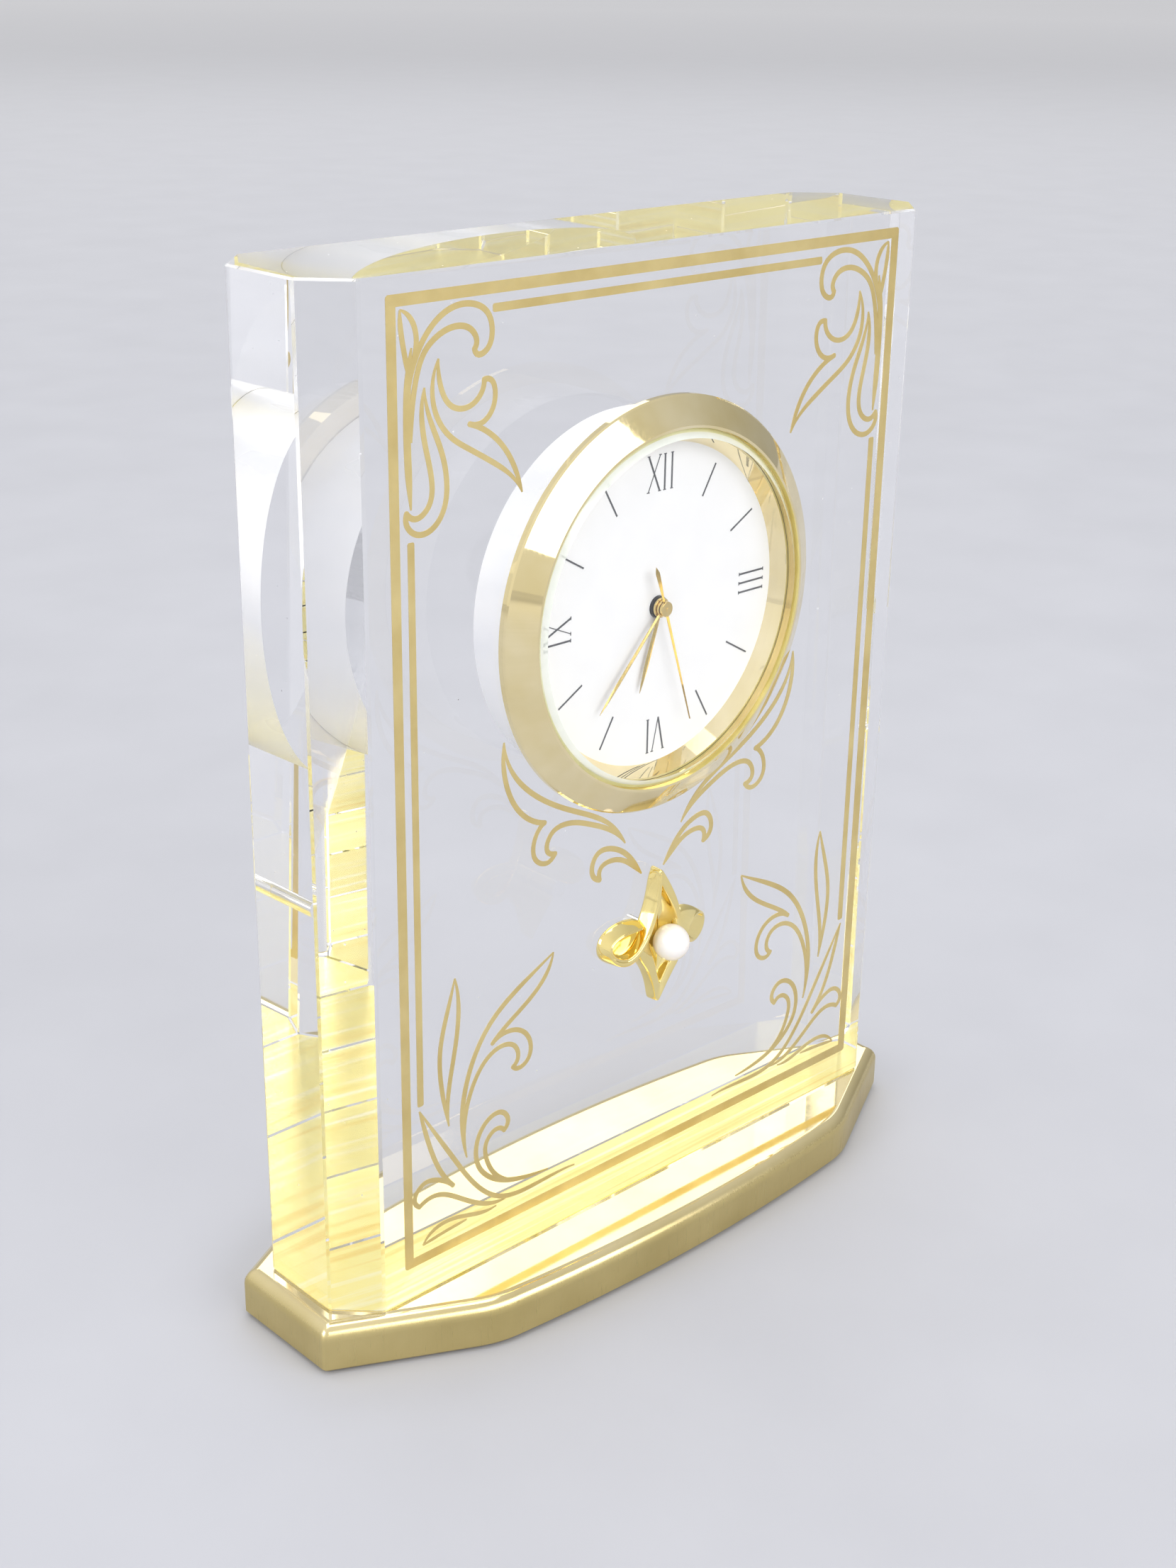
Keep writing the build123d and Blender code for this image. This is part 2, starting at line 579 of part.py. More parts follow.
def stroke_half_width(share, widest, ends):
    """The half width of a stroke at a share of its length."""
    start = min(1.0, share / STROKE_LEAD) if ends in ("both", "start") else 1.0
    finish = min(1.0, (1 - share) / STROKE_LEAD) if ends in ("both", "end") else 1.0
    swell = math.sin(min(start, finish) * math.pi / 2)
    return STROKE_TIP + (widest - STROKE_TIP) * swell


def stroke_face(points, widest, ends, anchor):
    """A flat stroke along a smooth line through its points, thin or rounded at its ends."""
    line = Spline([(anchor[0] + x, anchor[1] + y) for x, y in points])
    count = STROKE_STEPS * (len(points) - 1)
    left = []
    right = []
    for index in range(count + 1):
        share = index / count
        at = line.position_at(share)
        along = line.tangent_at(share)
        half = stroke_half_width(share, widest, ends)
        left.append((at.X - along.Y * half, at.Y + along.X * half))
        right.append((at.X + along.Y * half, at.Y - along.X * half))
    face = make_face(Polyline(left + right[::-1], close=True))
    blunt = {"start": [1], "end": [0], "none": [0, 1], "both": []}[ends]
    for share in blunt:
        at = line.position_at(share)
        face += Pos(at.X, at.Y) * Circle(widest)
    return face


def make_scrolls():
    """The gilt scroll and leaf strokes, mirrored left and right."""
    strokes = []
    for group, anchor in SCROLL_ANCHORS:
        strokes += [line_prism(stroke_face(*stroke, anchor)) for stroke in group]
    bezel_place = Pos(0, CLOCK_HEIGHT) * disc(BEZEL_RADIUS + SCROLL_CLEARANCE, 0, 1)
    half = Compound(children=list((strokes[0].fuse(*strokes[1:]) - bezel_place).solids()))
    return FACE * Compound(children=[half, mirror(half, about=Plane.YZ)])


# ---------------------------------------------------------------- ornament and pearl


def loop_band(centre_x, centre_y, half_x, half_y, tilt):
    """One curled end of the ribbon: a band that stands on edge round an oval."""
    outer = Ellipse(half_x, half_y)
    inner = Ellipse(half_x - LOOP_WALL, half_y - LOOP_WALL)
    band = extrude(outer - inner, LOOP_DEPTH)
    return Pos(centre_x, centre_y, CASTING_STAND_OFF) * Rot(0, 0, tilt) * band


def casting_plan(inset=0.0):
    """The casting's plan: a tall leaf with blunt tips, hollow on its left sides."""
    tip = CASTING_TIP_HALF_WIDTH
    top_left, top_right = [(CASTING_TOP[0] + side * tip, CASTING_TOP[1]) for side in (-1, 1)]
    foot_left, foot_right = [(CASTING_FOOT[0] + side * tip, CASTING_FOOT[1]) for side in (-1, 1)]
    edges = [
        Line(top_left, top_right),
        ThreePointArc(top_right, CASTING_UPPER_RIGHT, CASTING_RIGHT),
        ThreePointArc(CASTING_RIGHT, CASTING_LOWER_RIGHT, foot_right),
        Line(foot_right, foot_left),
        ThreePointArc(foot_left, CASTING_LOWER_LEFT, CASTING_LEFT),
        ThreePointArc(CASTING_LEFT, CASTING_UPPER_LEFT, top_left),
    ]
    face = make_face(edges)
    return offset(face, -inset) if inset else face


def make_ornament():
    """The casting: a hollow-fronted leaf between two curled loops, with a seat for the pearl."""
    casting = Pos(0, 0, CASTING_STAND_OFF) * extrude(casting_plan(), CASTING_DEPTH)
    for loop in (LEFT_LOOP, RIGHT_LOOP):
        casting += loop_band(*loop)
    hollow = extrude(casting_plan(CASTING_WALL), CASTING_DEPTH)
    casting -= Pos(0, 0, CASTING_STAND_OFF + CASTING_FLOOR) * hollow
    seat = Pos(PEARL_CENTRE[0], PEARL_CENTRE[1], pearl_height()) * Sphere(PEARL_RADIUS + FIT)
    peg_hole = disc(PEG_RADIUS, CASTING_STAND_OFF, pearl_height(), PEARL_CENTRE)
    return ORNAMENT * (casting - seat - peg_hole)


def pearl_height():
    """The height of the pearl's centre above the block's face."""
    return CASTING_STAND_OFF + CASTING_FLOOR + PEARL_RADIUS - PEARL_SINK


def peg_top():
    """The height of the peg's end above the block's face."""
    return CASTING_STAND_OFF + CASTING_FLOOR + PEG_RISE


def make_pearl():
    """The pearl, drilled for its peg."""
    ball = Pos(PEARL_CENTRE[0], PEARL_CENTRE[1], pearl_height()) * Sphere(PEARL_RADIUS)
    drilled = disc(PEG_RADIUS + FIT, 0, peg_top() + SEAT_GAP, PEARL_CENTRE)
    return ORNAMENT * (ball - drilled)


def make_peg():
    """The peg that holds the pearl to the casting."""
    return ORNAMENT * disc(PEG_RADIUS, CASTING_STAND_OFF, peg_top(), PEARL_CENTRE)


def make_post():
    """The post that stands in the block's blind hole and carries the casting."""
    return ORNAMENT * disc(POST_RADIUS, -POST_LENGTH, CASTING_STAND_OFF)


# ---------------------------------------------------------------- clock case and dial


def make_bezel():
    """The gilt bezel: a flange on the block's face, a bevel, the lens seat and a spigot."""
    bore = LENS_RADIUS + FIT
    return CLOCK * turned(
        (SPIGOT_RADIUS, FLOAT_GAP),
        (BEZEL_RADIUS, FLOAT_GAP),
        (BEZEL_RADIUS, BEZEL_EDGE_HEIGHT - BEZEL_EDGE_BREAK),
        (BEZEL_RADIUS - BEZEL_EDGE_BREAK, BEZEL_EDGE_HEIGHT),
        (bore + BEZEL_RIM_WIDTH, BEZEL_RIM_HEIGHT),
        (bore, BEZEL_RIM_HEIGHT),
        (bore, LENS_SEAT_HEIGHT),
        (SPIGOT_INNER, LENS_SEAT_HEIGHT),
        (SPIGOT_INNER, -BEZEL_SPIGOT_LENGTH),
        (SPIGOT_RADIUS, -BEZEL_SPIGOT_LENGTH),
    )


def make_lens():
    """The clock glass, with a polished bevel round its front."""
    back = LENS_SEAT_HEIGHT + FLOAT_GAP
    front = back + LENS_THICKNESS
    return CLOCK * turned(
        (0, back),
        (LENS_RADIUS, back),
        (LENS_RADIUS, front - LENS_BEVEL_HEIGHT),
        (LENS_RADIUS - LENS_BEVEL_WIDTH, front),
        (0, front),
    )


def make_reflector():
    """The sloping gilt ring between the dial and the lens."""
    top = LENS_SEAT_HEIGHT - SEAT_GAP
    return CLOCK * turned(
        (DIAL_OPENING_RADIUS, DIAL_HEIGHT),
        (DIAL_RADIUS, DIAL_HEIGHT),
        (DIAL_RADIUS, top),
        (DIAL_RADIUS - REFLECTOR_RIM, top),
    )


def make_dial():
    """The dial plate."""
    return CLOCK * tube(DIAL_RADIUS, NUT_RADIUS + FIT, DIAL_BACK, DIAL_HEIGHT)


def bar(start, end, width):
    """A straight printed stroke between two points of the dial."""
    length = math.hypot(end[0] - start[0], end[1] - start[1])
    lean = math.degrees(math.atan2(end[1] - start[1], end[0] - start[0]))
    middle = ((start[0] + end[0]) / 2, (start[1] + end[1]) / 2)
    return Pos(*middle) * Rot(0, 0, lean) * Rectangle(length, width)


def roman(letters):
    """A thin Roman numeral that stands upright about the origin."""
    height = MARKER_LENGTH
    widths = {"I": NUMERAL_I_WIDTH, "V": NUMERAL_WIDE_WIDTH, "X": NUMERAL_WIDE_WIDTH}
    lean = NUMERAL_LEAN
    left = -sum(widths[letter] for letter in letters) / 2
    strokes = []
    for letter in letters:
        right = left + widths[letter]
        middle = (left + right) / 2
        low = -height / 2
        high = height / 2
        if letter == "I":
            strokes.append(bar((middle, low), (middle, high), NUMERAL_THICK))
            serif_tops = [(middle, low), (middle, high)]
        elif letter == "V":
            strokes.append(bar((middle - lean, high), (middle, low), NUMERAL_THICK))
            strokes.append(bar((middle + lean, high), (middle, low), NUMERAL_THIN))
            serif_tops = [(middle - lean, high), (middle + lean, high)]
        else:
            strokes.append(bar((middle - lean, high), (middle + lean, low), NUMERAL_THICK))
            strokes.append(bar((middle + lean, high), (middle - lean, low), NUMERAL_THIN))
            serif_tops = [(middle + side * lean, level) for side in (-1, 1) for level in (low, high)]
        for x, y in serif_tops:
            strokes.append(bar((x - NUMERAL_SERIF / 2, y), (x + NUMERAL_SERIF / 2, y), NUMERAL_THIN))
        left = right
    numeral = strokes[0]
    for stroke in strokes[1:]:
        numeral += stroke
    return numeral


def make_markers():
    """The hour markers: four Roman numerals and eight bars."""
    numerals = {0: "XII", 3: "III", 6: "VI", 9: "IX"}
    middle = (MARKER_INNER_RADIUS + MARKER_OUTER_RADIUS) / 2
    solids = []
    for hour in range(12):
        turn = Rot(0, 0, -30 * hour)
        if hour in numerals:
            shape = turn * Pos(0, middle) * roman(numerals[hour])
        else:
            shape = turn * Pos(0, middle) * Rectangle(MARKER_WIDTH, MARKER_LENGTH)
        solids += (Pos(0, 0, DIAL_HEIGHT) * extrude(shape, MARKER_THICKNESS)).solids()
    return CLOCK * Compound(children=solids)


# ---------------------------------------------------------------- housing


def make_cup():
    """The housing cup, with holes in its floor for the knob's arbor and the battery."""
    shell = disc(CUP_RADIUS, CUP_BACK, CUP_FRONT) - disc(CUP_INNER, CUP_FLOOR, CUP_FRONT)
    shell -= disc(COVER_RADIUS + FIT, CUP_BACK, CUP_FLOOR, BATTERY_CENTRE)
    shell -= disc(SETTING_ARBOR_RADIUS + FIT, CUP_BACK, CUP_FLOOR, SETTING_CENTRE)
    groove = tube(CUP_RADIUS + FIT, CUP_RADIUS - CUP_GROOVE_DEPTH,
                  GRIP_BACK - SEAT_GAP, GRIP_FRONT + SEAT_GAP)
    return CLOCK * (shell - groove)


def make_grip():
    """The ribbed rubber band that grips the block's bore."""
    inner = CUP_RADIUS - CUP_GROOVE_DEPTH + FIT
    crest = CUP_RADIUS + GRIP_PROUD
    band = tube(crest - GRIP_RIB_HEIGHT, inner, GRIP_BACK, GRIP_FRONT)
    ribs = int((GRIP_FRONT - GRIP_BACK) / GRIP_RIB_PITCH)
    for index in range(ribs):
        middle = GRIP_BACK + (index + 0.5) * GRIP_RIB_PITCH
        band += tube(crest, inner, middle - GRIP_RIB_WIDTH / 2, middle + GRIP_RIB_WIDTH / 2)
    return CLOCK * band


def make_battery_cover():
    """The quarter-turn cover over the battery, with a coin slot."""
    cover = disc(COVER_RADIUS, CUP_BACK, CUP_FLOOR - SEAT_GAP, BATTERY_CENTRE)
    slot = slab(COVER_SLOT[0], COVER_SLOT[1], CUP_BACK, CUP_BACK + COVER_SLOT_DEPTH, BATTERY_CENTRE)
    return CLOCK * (cover - slot)


def make_knob():
    """The ridged setting knob on the back of the clock."""
    high = CUP_BACK - SEAT_GAP
    low = high - KNOB_THICKNESS
    knob = disc(KNOB_RADIUS, low, high, SETTING_CENTRE)
    for index in range(KNOB_RIDGES):
        place = polar(KNOB_RADIUS, 360 * index / KNOB_RIDGES, SETTING_CENTRE)
        knob -= disc(KNOB_RIDGE_RADIUS, low, high, place)
    return CLOCK * (knob - disc(SETTING_ARBOR_RADIUS, low + KNOB_THICKNESS / 2, high, SETTING_CENTRE))


# ---------------------------------------------------------------- movement frame


def pillar_places():
    """The centres of the three pillars."""
    return [polar(PILLAR_CIRCLE, angle) for angle in PILLAR_ANGLES]


def make_front_plate():
    """The movement's front plate, with a rim that the dial rests on."""
    plate = disc(CUP_INNER - FIT, PLATE_BACK, PLATE_FRONT)
    plate += tube(DIAL_RADIUS, DIAL_RADIUS - PLATE_RIM_WALL, PLATE_FRONT, DIAL_BACK)
    plate -= disc(CANNON_RADIUS + FIT, PLATE_BACK, PLATE_FRONT)
    plate -= disc(PIVOT_RADIUS + FIT, PLATE_BACK, PLATE_FRONT, MINUTE_CENTRE)
    plate -= disc(SETTING_ARBOR_RADIUS + FIT, PLATE_BACK, PLATE_FRONT, SETTING_CENTRE)
    for centre in (THIRD_CENTRE, STEP_CENTRE, ROTOR_CENTRE):
        plate -= disc(PIVOT_RADIUS + FIT, PLATE_BACK, PLATE_FRONT, centre)
    for centre in pillar_places():
        plate -= disc(SCREW_RADIUS, PLATE_BACK, PLATE_FRONT, centre)
    return CLOCK * plate


def make_back_plate():
    """The movement's back plate, open round the battery."""
    plate = disc(BACK_PLATE_RADIUS, BACK_PLATE_BACK, BACK_PLATE_FRONT)
    plate -= disc(BATTERY_RADIUS + 2 * BATTERY_RIM, BACK_PLATE_BACK, BACK_PLATE_FRONT, BATTERY_CENTRE)
    plate -= disc(SECONDS_ARBOR_RADIUS + FIT, BACK_PLATE_BACK, BACK_PLATE_FRONT)
    plate -= disc(SETTING_ARBOR_RADIUS + FIT, BACK_PLATE_BACK, BACK_PLATE_FRONT, SETTING_CENTRE)
    for centre in (THIRD_CENTRE, STEP_CENTRE, ROTOR_CENTRE):
        plate -= disc(PIVOT_RADIUS + FIT, BACK_PLATE_BACK, BACK_PLATE_FRONT, centre)
    for centre in pillar_places():
        plate -= disc(SCREW_RADIUS, BACK_PLATE_BACK, BACK_PLATE_FRONT, centre)
    return CLOCK * plate


def make_pillars():
    """The three pillars between the plates."""
    solids = []
    for centre in pillar_places():
        solids.append(tube(PILLAR_RADIUS, SCREW_RADIUS, BACK_PLATE_FRONT, PLATE_BACK, centre))
    return CLOCK * Compound(children=solids)


def make_plate_screws():
    """The three screws through the back plate, the pillars and the front plate."""
    solids = []
    for centre in pillar_places():
        head = BACK_PLATE_BACK - SCREW_HEAD_HEIGHT
        screw = disc(SCREW_RADIUS, BACK_PLATE_BACK, PLATE_FRONT - SEAT_GAP, centre)
        screw += disc(SCREW_HEAD_RADIUS, head, BACK_PLATE_BACK, centre)
        screw -= slab(2 * SCREW_HEAD_RADIUS, SCREW_SLOT_WIDTH, head, head + SCREW_SLOT_DEPTH, centre)
        solids.append(screw)
    return CLOCK * Compound(children=solids)


def make_centre_nut():
    """The bush that stands round the hour tube and shows as the foot of the hands."""
    top = DIAL_HEIGHT + CENTRE_NUT_HEIGHT
    return CLOCK * tube(NUT_RADIUS, NUT_INNER, HOUR_WHEEL_LEVEL[1] + SEAT_GAP, top)


# ---------------------------------------------------------------- wheels

SECONDS_PHASE = 0.0
THIRD_PHASE = mate_phase(SECONDS_PINION_TEETH, SECONDS_PHASE, THIRD_WHEEL_TEETH, THIRD_DIRECTION)
THIRD_PINION_PHASE = 0.0
CENTRE_PHASE = mate_phase(THIRD_PINION_TEETH, THIRD_PINION_PHASE, CENTRE_WHEEL_TEETH, THIRD_DIRECTION + 180)
STEP_PINION_PHASE = mate_phase(SECONDS_WHEEL_TEETH, SECONDS_PHASE, STEP_PINION_TEETH, STEP_DIRECTION)
STEP_WHEEL_PHASE = 0.0
ROTOR_PHASE = mate_phase(STEP_WHEEL_TEETH, STEP_WHEEL_PHASE, ROTOR_TEETH, ROTOR_DIRECTION)
CANNON_PHASE = 0.0
MINUTE_PHASE = mate_phase(CANNON_TEETH, CANNON_PHASE, MINUTE_WHEEL_TEETH, MINUTE_WHEEL_DIRECTION)
MINUTE_PINION_PHASE = 0.0
HOUR_PHASE = mate_phase(MINUTE_PINION_TEETH, MINUTE_PINION_PHASE, HOUR_WHEEL_TEETH,
                        MINUTE_WHEEL_DIRECTION + 180)
SETTING_PHASE = mate_phase(MINUTE_WHEEL_TEETH, MINUTE_PHASE, SETTING_WHEEL_TEETH, SETTING_DIRECTION)


def pivoted_arbor(centre):
    """An arbor between the plates, with thin pivots in both."""
    arbor = disc(ARBOR_RADIUS, BACK_PLATE_FRONT + SEAT_GAP, PLATE_BACK - SEAT_GAP, centre)
    return arbor + disc(PIVOT_RADIUS, BACK_PLATE_BACK, PLATE_FRONT, centre)


def make_rotor():
    """The stepping motor's rotor: magnet, arbor and pinion."""
    rotor = pivoted_arbor(ROTOR_CENTRE)
    rotor += gear(ROTOR_TEETH, STEP_MODULE, ROTOR_PINION_LEVEL, ROTOR_PHASE, ROTOR_CENTRE)
    rotor += disc(ROTOR_MAGNET_RADIUS, *ROTOR_MAGNET_LEVEL, ROTOR_CENTRE)
    return CLOCK * rotor


def make_step_wheel():
    """The wheel and pinion between the rotor and the seconds wheel."""
    wheel = pivoted_arbor(STEP_CENTRE)
    wheel += gear(STEP_WHEEL_TEETH, STEP_MODULE, STEP_WHEEL_LEVEL, STEP_WHEEL_PHASE, STEP_CENTRE)
    wheel += gear(STEP_PINION_TEETH, SECONDS_MODULE, STEP_PINION_LEVEL, STEP_PINION_PHASE, STEP_CENTRE)
    return CLOCK * wheel


def make_seconds_wheel():
    """The seconds wheel, its pinion and the long arbor that carries the seconds hand."""
    wheel = disc(SECONDS_ARBOR_RADIUS, BACK_PLATE_BACK, SECOND_HAND_LEVEL)
    wheel += gear(SECONDS_WHEEL_TEETH, SECONDS_MODULE, SECONDS_WHEEL_LEVEL, SECONDS_PHASE)
    wheel += gear(SECONDS_PINION_TEETH, THIRD_MODULE, SECONDS_PINION_LEVEL, SECONDS_PHASE)
    wheel += disc(ARBOR_RADIUS, SECONDS_WHEEL_LEVEL[1], SECONDS_PINION_LEVEL[0])
    return CLOCK * wheel


def make_third_wheel():
    """The third wheel and pinion."""
    wheel = pivoted_arbor(THIRD_CENTRE)
    wheel += gear(THIRD_WHEEL_TEETH, THIRD_MODULE, THIRD_WHEEL_LEVEL, THIRD_PHASE, THIRD_CENTRE)
    wheel += gear(THIRD_PINION_TEETH, CENTRE_MODULE, THIRD_PINION_LEVEL, THIRD_PINION_PHASE, THIRD_CENTRE)
    return CLOCK * wheel


def make_centre_wheel():
    """The centre wheel on its tube, which the cannon pinion grips by friction."""
    low = CENTRE_WHEEL_LEVEL[0]
    wheel = disc(CENTRE_TUBE_RADIUS, low, MINUTE_HAND_LEVEL)
    wheel += gear(CENTRE_WHEEL_TEETH, CENTRE_MODULE, CENTRE_WHEEL_LEVEL, CENTRE_PHASE)
    return CLOCK * (wheel - disc(CENTRE_TUBE_INNER, low, MINUTE_HAND_LEVEL))


def make_cannon_pinion():
    """The cannon pinion and its tube, which carries the minute hand."""
    low = PLATE_BACK
    pinion = disc(CANNON_RADIUS, low, MINUTE_HAND_LEVEL)
    pinion += gear(CANNON_TEETH, MOTION_MODULE, CANNON_PINION_LEVEL, CANNON_PHASE)
    return CLOCK * (pinion - disc(CANNON_INNER, low, MINUTE_HAND_LEVEL))


def make_minute_wheel():
    """The minute wheel and pinion under the dial."""
    wheel = gear(MINUTE_WHEEL_TEETH, MOTION_MODULE, MINUTE_WHEEL_LEVEL, MINUTE_PHASE, MINUTE_CENTRE)
    wheel += gear(MINUTE_PINION_TEETH, HOUR_MODULE, MINUTE_PINION_LEVEL, MINUTE_PINION_PHASE, MINUTE_CENTRE)
    wheel += disc(ARBOR_RADIUS, PLATE_FRONT + SEAT_GAP, MINUTE_PINION_LEVEL[1], MINUTE_CENTRE)
    wheel += disc(PIVOT_RADIUS, PLATE_BACK, PLATE_FRONT + SEAT_GAP, MINUTE_CENTRE)
    return CLOCK * wheel


def make_hour_wheel():
    """The hour wheel and its tube, which carries the hour hand."""
    low = HOUR_WHEEL_LEVEL[0]
    wheel = disc(HOUR_TUBE_RADIUS, low, HOUR_HAND_LEVEL)
    wheel += gear(HOUR_WHEEL_TEETH, HOUR_MODULE, HOUR_WHEEL_LEVEL, HOUR_PHASE)
    return CLOCK * (wheel - disc(HOUR_TUBE_INNER, low, HOUR_HAND_LEVEL))


def make_setting_wheel():
    """The setting wheel and the long arbor that the knob turns."""
    knob_middle = CUP_BACK - SEAT_GAP - KNOB_THICKNESS / 2
    wheel = disc(SETTING_ARBOR_RADIUS, knob_middle, MINUTE_WHEEL_LEVEL[1], SETTING_CENTRE)
    wheel += gear(SETTING_WHEEL_TEETH, MOTION_MODULE, MINUTE_WHEEL_LEVEL, SETTING_PHASE, SETTING_CENTRE)
    return CLOCK * wheel


# ---------------------------------------------------------------- hands


def ridged_blade(length, width, widest_at, level):
    """A tapered hand blade with a ridge along its middle, pointing up."""
    foot = [(0, 0), (width / 2, widest_at), (0, length), (-width / 2, widest_at)]
    crest = [(0, 0.1 * length), (0.06 * width, widest_at), (0, 0.98 * length), (-0.06 * width, widest_at)]
    blade = flat(foot, level, level + HAND_THICKNESS - HAND_RIDGE)
    low_face = Pos(0, 0, level + HAND_THICKNESS - HAND_RIDGE) * make_face(Polyline(foot, close=True))
    top_face = Pos(0, 0, level + HAND_THICKNESS) * make_face(Polyline(crest, close=True))
    return blade + loft([low_face, top_face])


def make_hand(length, width, level, bore, angle):
    """A hand: a ridged blade and a boss that fits on its tube."""
    boss = bore + HAND_BOSS_MARGIN
    hand = ridged_blade(length, width, 0.3 * length, level)
    hand += disc(boss, level, level + HAND_THICKNESS)
    hand -= disc(bore, level, level + HAND_THICKNESS)
    return CLOCK * (Rot(0, 0, -angle) * hand)


def make_second_hand():
    """The seconds hand: a needle, a leaf-shaped tail and a domed cap."""
    level = SECOND_HAND_LEVEL
    top = level + HAND_THICKNESS - HAND_RIDGE
    half = SECOND_HAND_WIDTH / 2
    needle = [(-half, 0), (half, 0), (half / 2, SECOND_HAND_LENGTH), (-half / 2, SECOND_HAND_LENGTH)]
    tail_half = SECOND_TAIL_WIDTH / 2
    tail_wide = 0.55 * SECOND_TAIL_LENGTH
    tail = [(-half / 2, 0), (-tail_half, -tail_wide), (0, -SECOND_TAIL_LENGTH),
            (tail_half, -tail_wide), (half / 2, 0)]
    hand = flat(needle, level, top) + flat(tail, level, top)
    cap = turned((0, level), (CAP_RADIUS, level), (CAP_RADIUS, level + CAP_HEIGHT / 2),
                 (0.8 * CAP_RADIUS, level + 0.85 * CAP_HEIGHT), (0.4 * CAP_RADIUS, level + CAP_HEIGHT),
                 (0, level + CAP_HEIGHT))
    return CLOCK * (Rot(0, 0, -SECOND_HAND_ANGLE) * (hand + cap))


# ---------------------------------------------------------------- electrics


def make_battery():
    """The button cell."""
    front = BATTERY_FRONT
    back = front - BATTERY_HEIGHT
    cell = disc(BATTERY_RADIUS, back + BATTERY_RIM, front, BATTERY_CENTRE)
    return CLOCK * (cell + disc(BATTERY_RADIUS - BATTERY_RIM, back, back + BATTERY_RIM, BATTERY_CENTRE))


def make_contacts():
    """The two contact strips: one under the cell's front, one bent over its back."""
    front_low = BATTERY_FRONT + SEAT_GAP
    front_high = front_low + CONTACT_THICKNESS
    front_strip = slab(2 * BATTERY_RADIUS, CONTACT_WIDTH, front_low, front_high, BATTERY_CENTRE)
    high = BATTERY_FRONT - BATTERY_HEIGHT - SEAT_GAP
    low = high - CONTACT_THICKNESS
    leg_inner = BATTERY_CENTRE[0] + BATTERY_RADIUS + BATTERY_RIM
    leg_outer = leg_inner + CONTACT_THICKNESS
    foot_end = leg_outer + BATTERY_RIM + CONTACT_WIDTH
    strip_start = BATTERY_CENTRE[0] - BATTERY_RADIUS
    profile = [(strip_start, low), (leg_outer, low), (leg_outer, BACK_PLATE_BACK - CONTACT_THICKNESS),
               (foot_end, BACK_PLATE_BACK - CONTACT_THICKNESS), (foot_end, BACK_PLATE_BACK),
               (leg_inner, BACK_PLATE_BACK), (leg_inner, high), (strip_start, high)]
    face = make_face(Polyline([(x, 0, height) for x, height in profile], close=True))
    strip = extrude(face, amount=CONTACT_WIDTH, dir=(0, 1, 0))
    strip = Pos(0, BATTERY_CENTRE[1] - CONTACT_WIDTH / 2, 0) * strip
    return CLOCK * Compound(children=[front_strip, strip])


def make_board():
    """The circuit board behind the back plate, on three moulded feet."""
    inner = BOARD_INNER_RADIUS
    outer = BOARD_OUTER_RADIUS
    start, end = BOARD_SWEEP
    middle = (start + end) / 2
    arc_out = ThreePointArc(polar(outer, start), polar(outer, middle), polar(outer, end))
    arc_in = ThreePointArc(polar(inner, end), polar(inner, middle), polar(inner, start))
    sides = Line(polar(outer, end), polar(inner, end)) + Line(polar(inner, start), polar(outer, start))
    face = make_face(arc_out + arc_in + sides)
    board = Pos(0, 0, BOARD_BACK) * extrude(face, BOARD_THICKNESS)
    for angle in (start + BOARD_FOOT_TURN, middle, end - BOARD_FOOT_TURN):
        board += disc(BOARD_FOOT_RADIUS, BOARD_FRONT, BACK_PLATE_BACK, polar((inner + outer) / 2, angle))
    for centre in pillar_places():
        board -= disc(SCREW_HEAD_RADIUS + BOARD_CLEARANCE, BOARD_BACK, BACK_PLATE_BACK, centre)
    return CLOCK * board


def make_chip():
    """The clock circuit under its moulded cover."""
    length, width, height = CHIP_SIZE
    chip = slab(length, width, BOARD_BACK - height, BOARD_BACK, CHIP_CENTRE)
    return CLOCK * chip


def make_crystal_can():
    """The quartz crystal in its metal can."""
    level = BOARD_BACK - CRYSTAL_CAN_RADIUS
    can = Rot(0, 90, 0) * Cylinder(CRYSTAL_CAN_RADIUS, CRYSTAL_CAN_LENGTH)
    return CLOCK * (Pos(CRYSTAL_CAN_CENTRE[0], CRYSTAL_CAN_CENTRE[1], level) * can)


def make_stator():
    """The stator: a flat iron loop with the rotor's hole at one end and a bar for the coil."""
    low = COIL_LEVEL - STATOR_THICKNESS / 2
    high = COIL_LEVEL + STATOR_THICKNESS / 2
    half = COIL_LENGTH / 2 + BOBBIN_FLANGE + STATOR_BAR
    left = COIL_CENTRE[0] - half
    right = COIL_CENTRE[0] + half
    bar_low = COIL_CENTRE[1] - STATOR_BAR / 2
    bar_high = COIL_CENTRE[1] + STATOR_BAR / 2
    pole = ROTOR_MAGNET_RADIUS + STATOR_GAP + STATOR_POLE_WALL
    pole_low = ROTOR_CENTRE[1] - pole / 2
    arm_high = bar_high + COIL_RADIUS
    outline = [(left, bar_low), (right, bar_low), (right, pole_low), (ROTOR_CENTRE[0] + pole, ROTOR_CENTRE[1]),
               (ROTOR_CENTRE[0] - pole, ROTOR_CENTRE[1]), (left, arm_high)]
    window_left = left + STATOR_BAR
    window_right = right - STATOR_BAR
    window_high = pole_low - STATOR_BAR
    window = [(window_left, bar_high), (window_right, bar_high), (window_right, window_high),
              (ROTOR_CENTRE[0] - pole / 2, window_high), (window_left, arm_high)]
    iron = flat(outline, low, high) - flat(window, low, high)
    iron += disc(pole, low, high, ROTOR_CENTRE)
    return CLOCK * (iron - disc(ROTOR_MAGNET_RADIUS + STATOR_GAP, low, high, ROTOR_CENTRE))


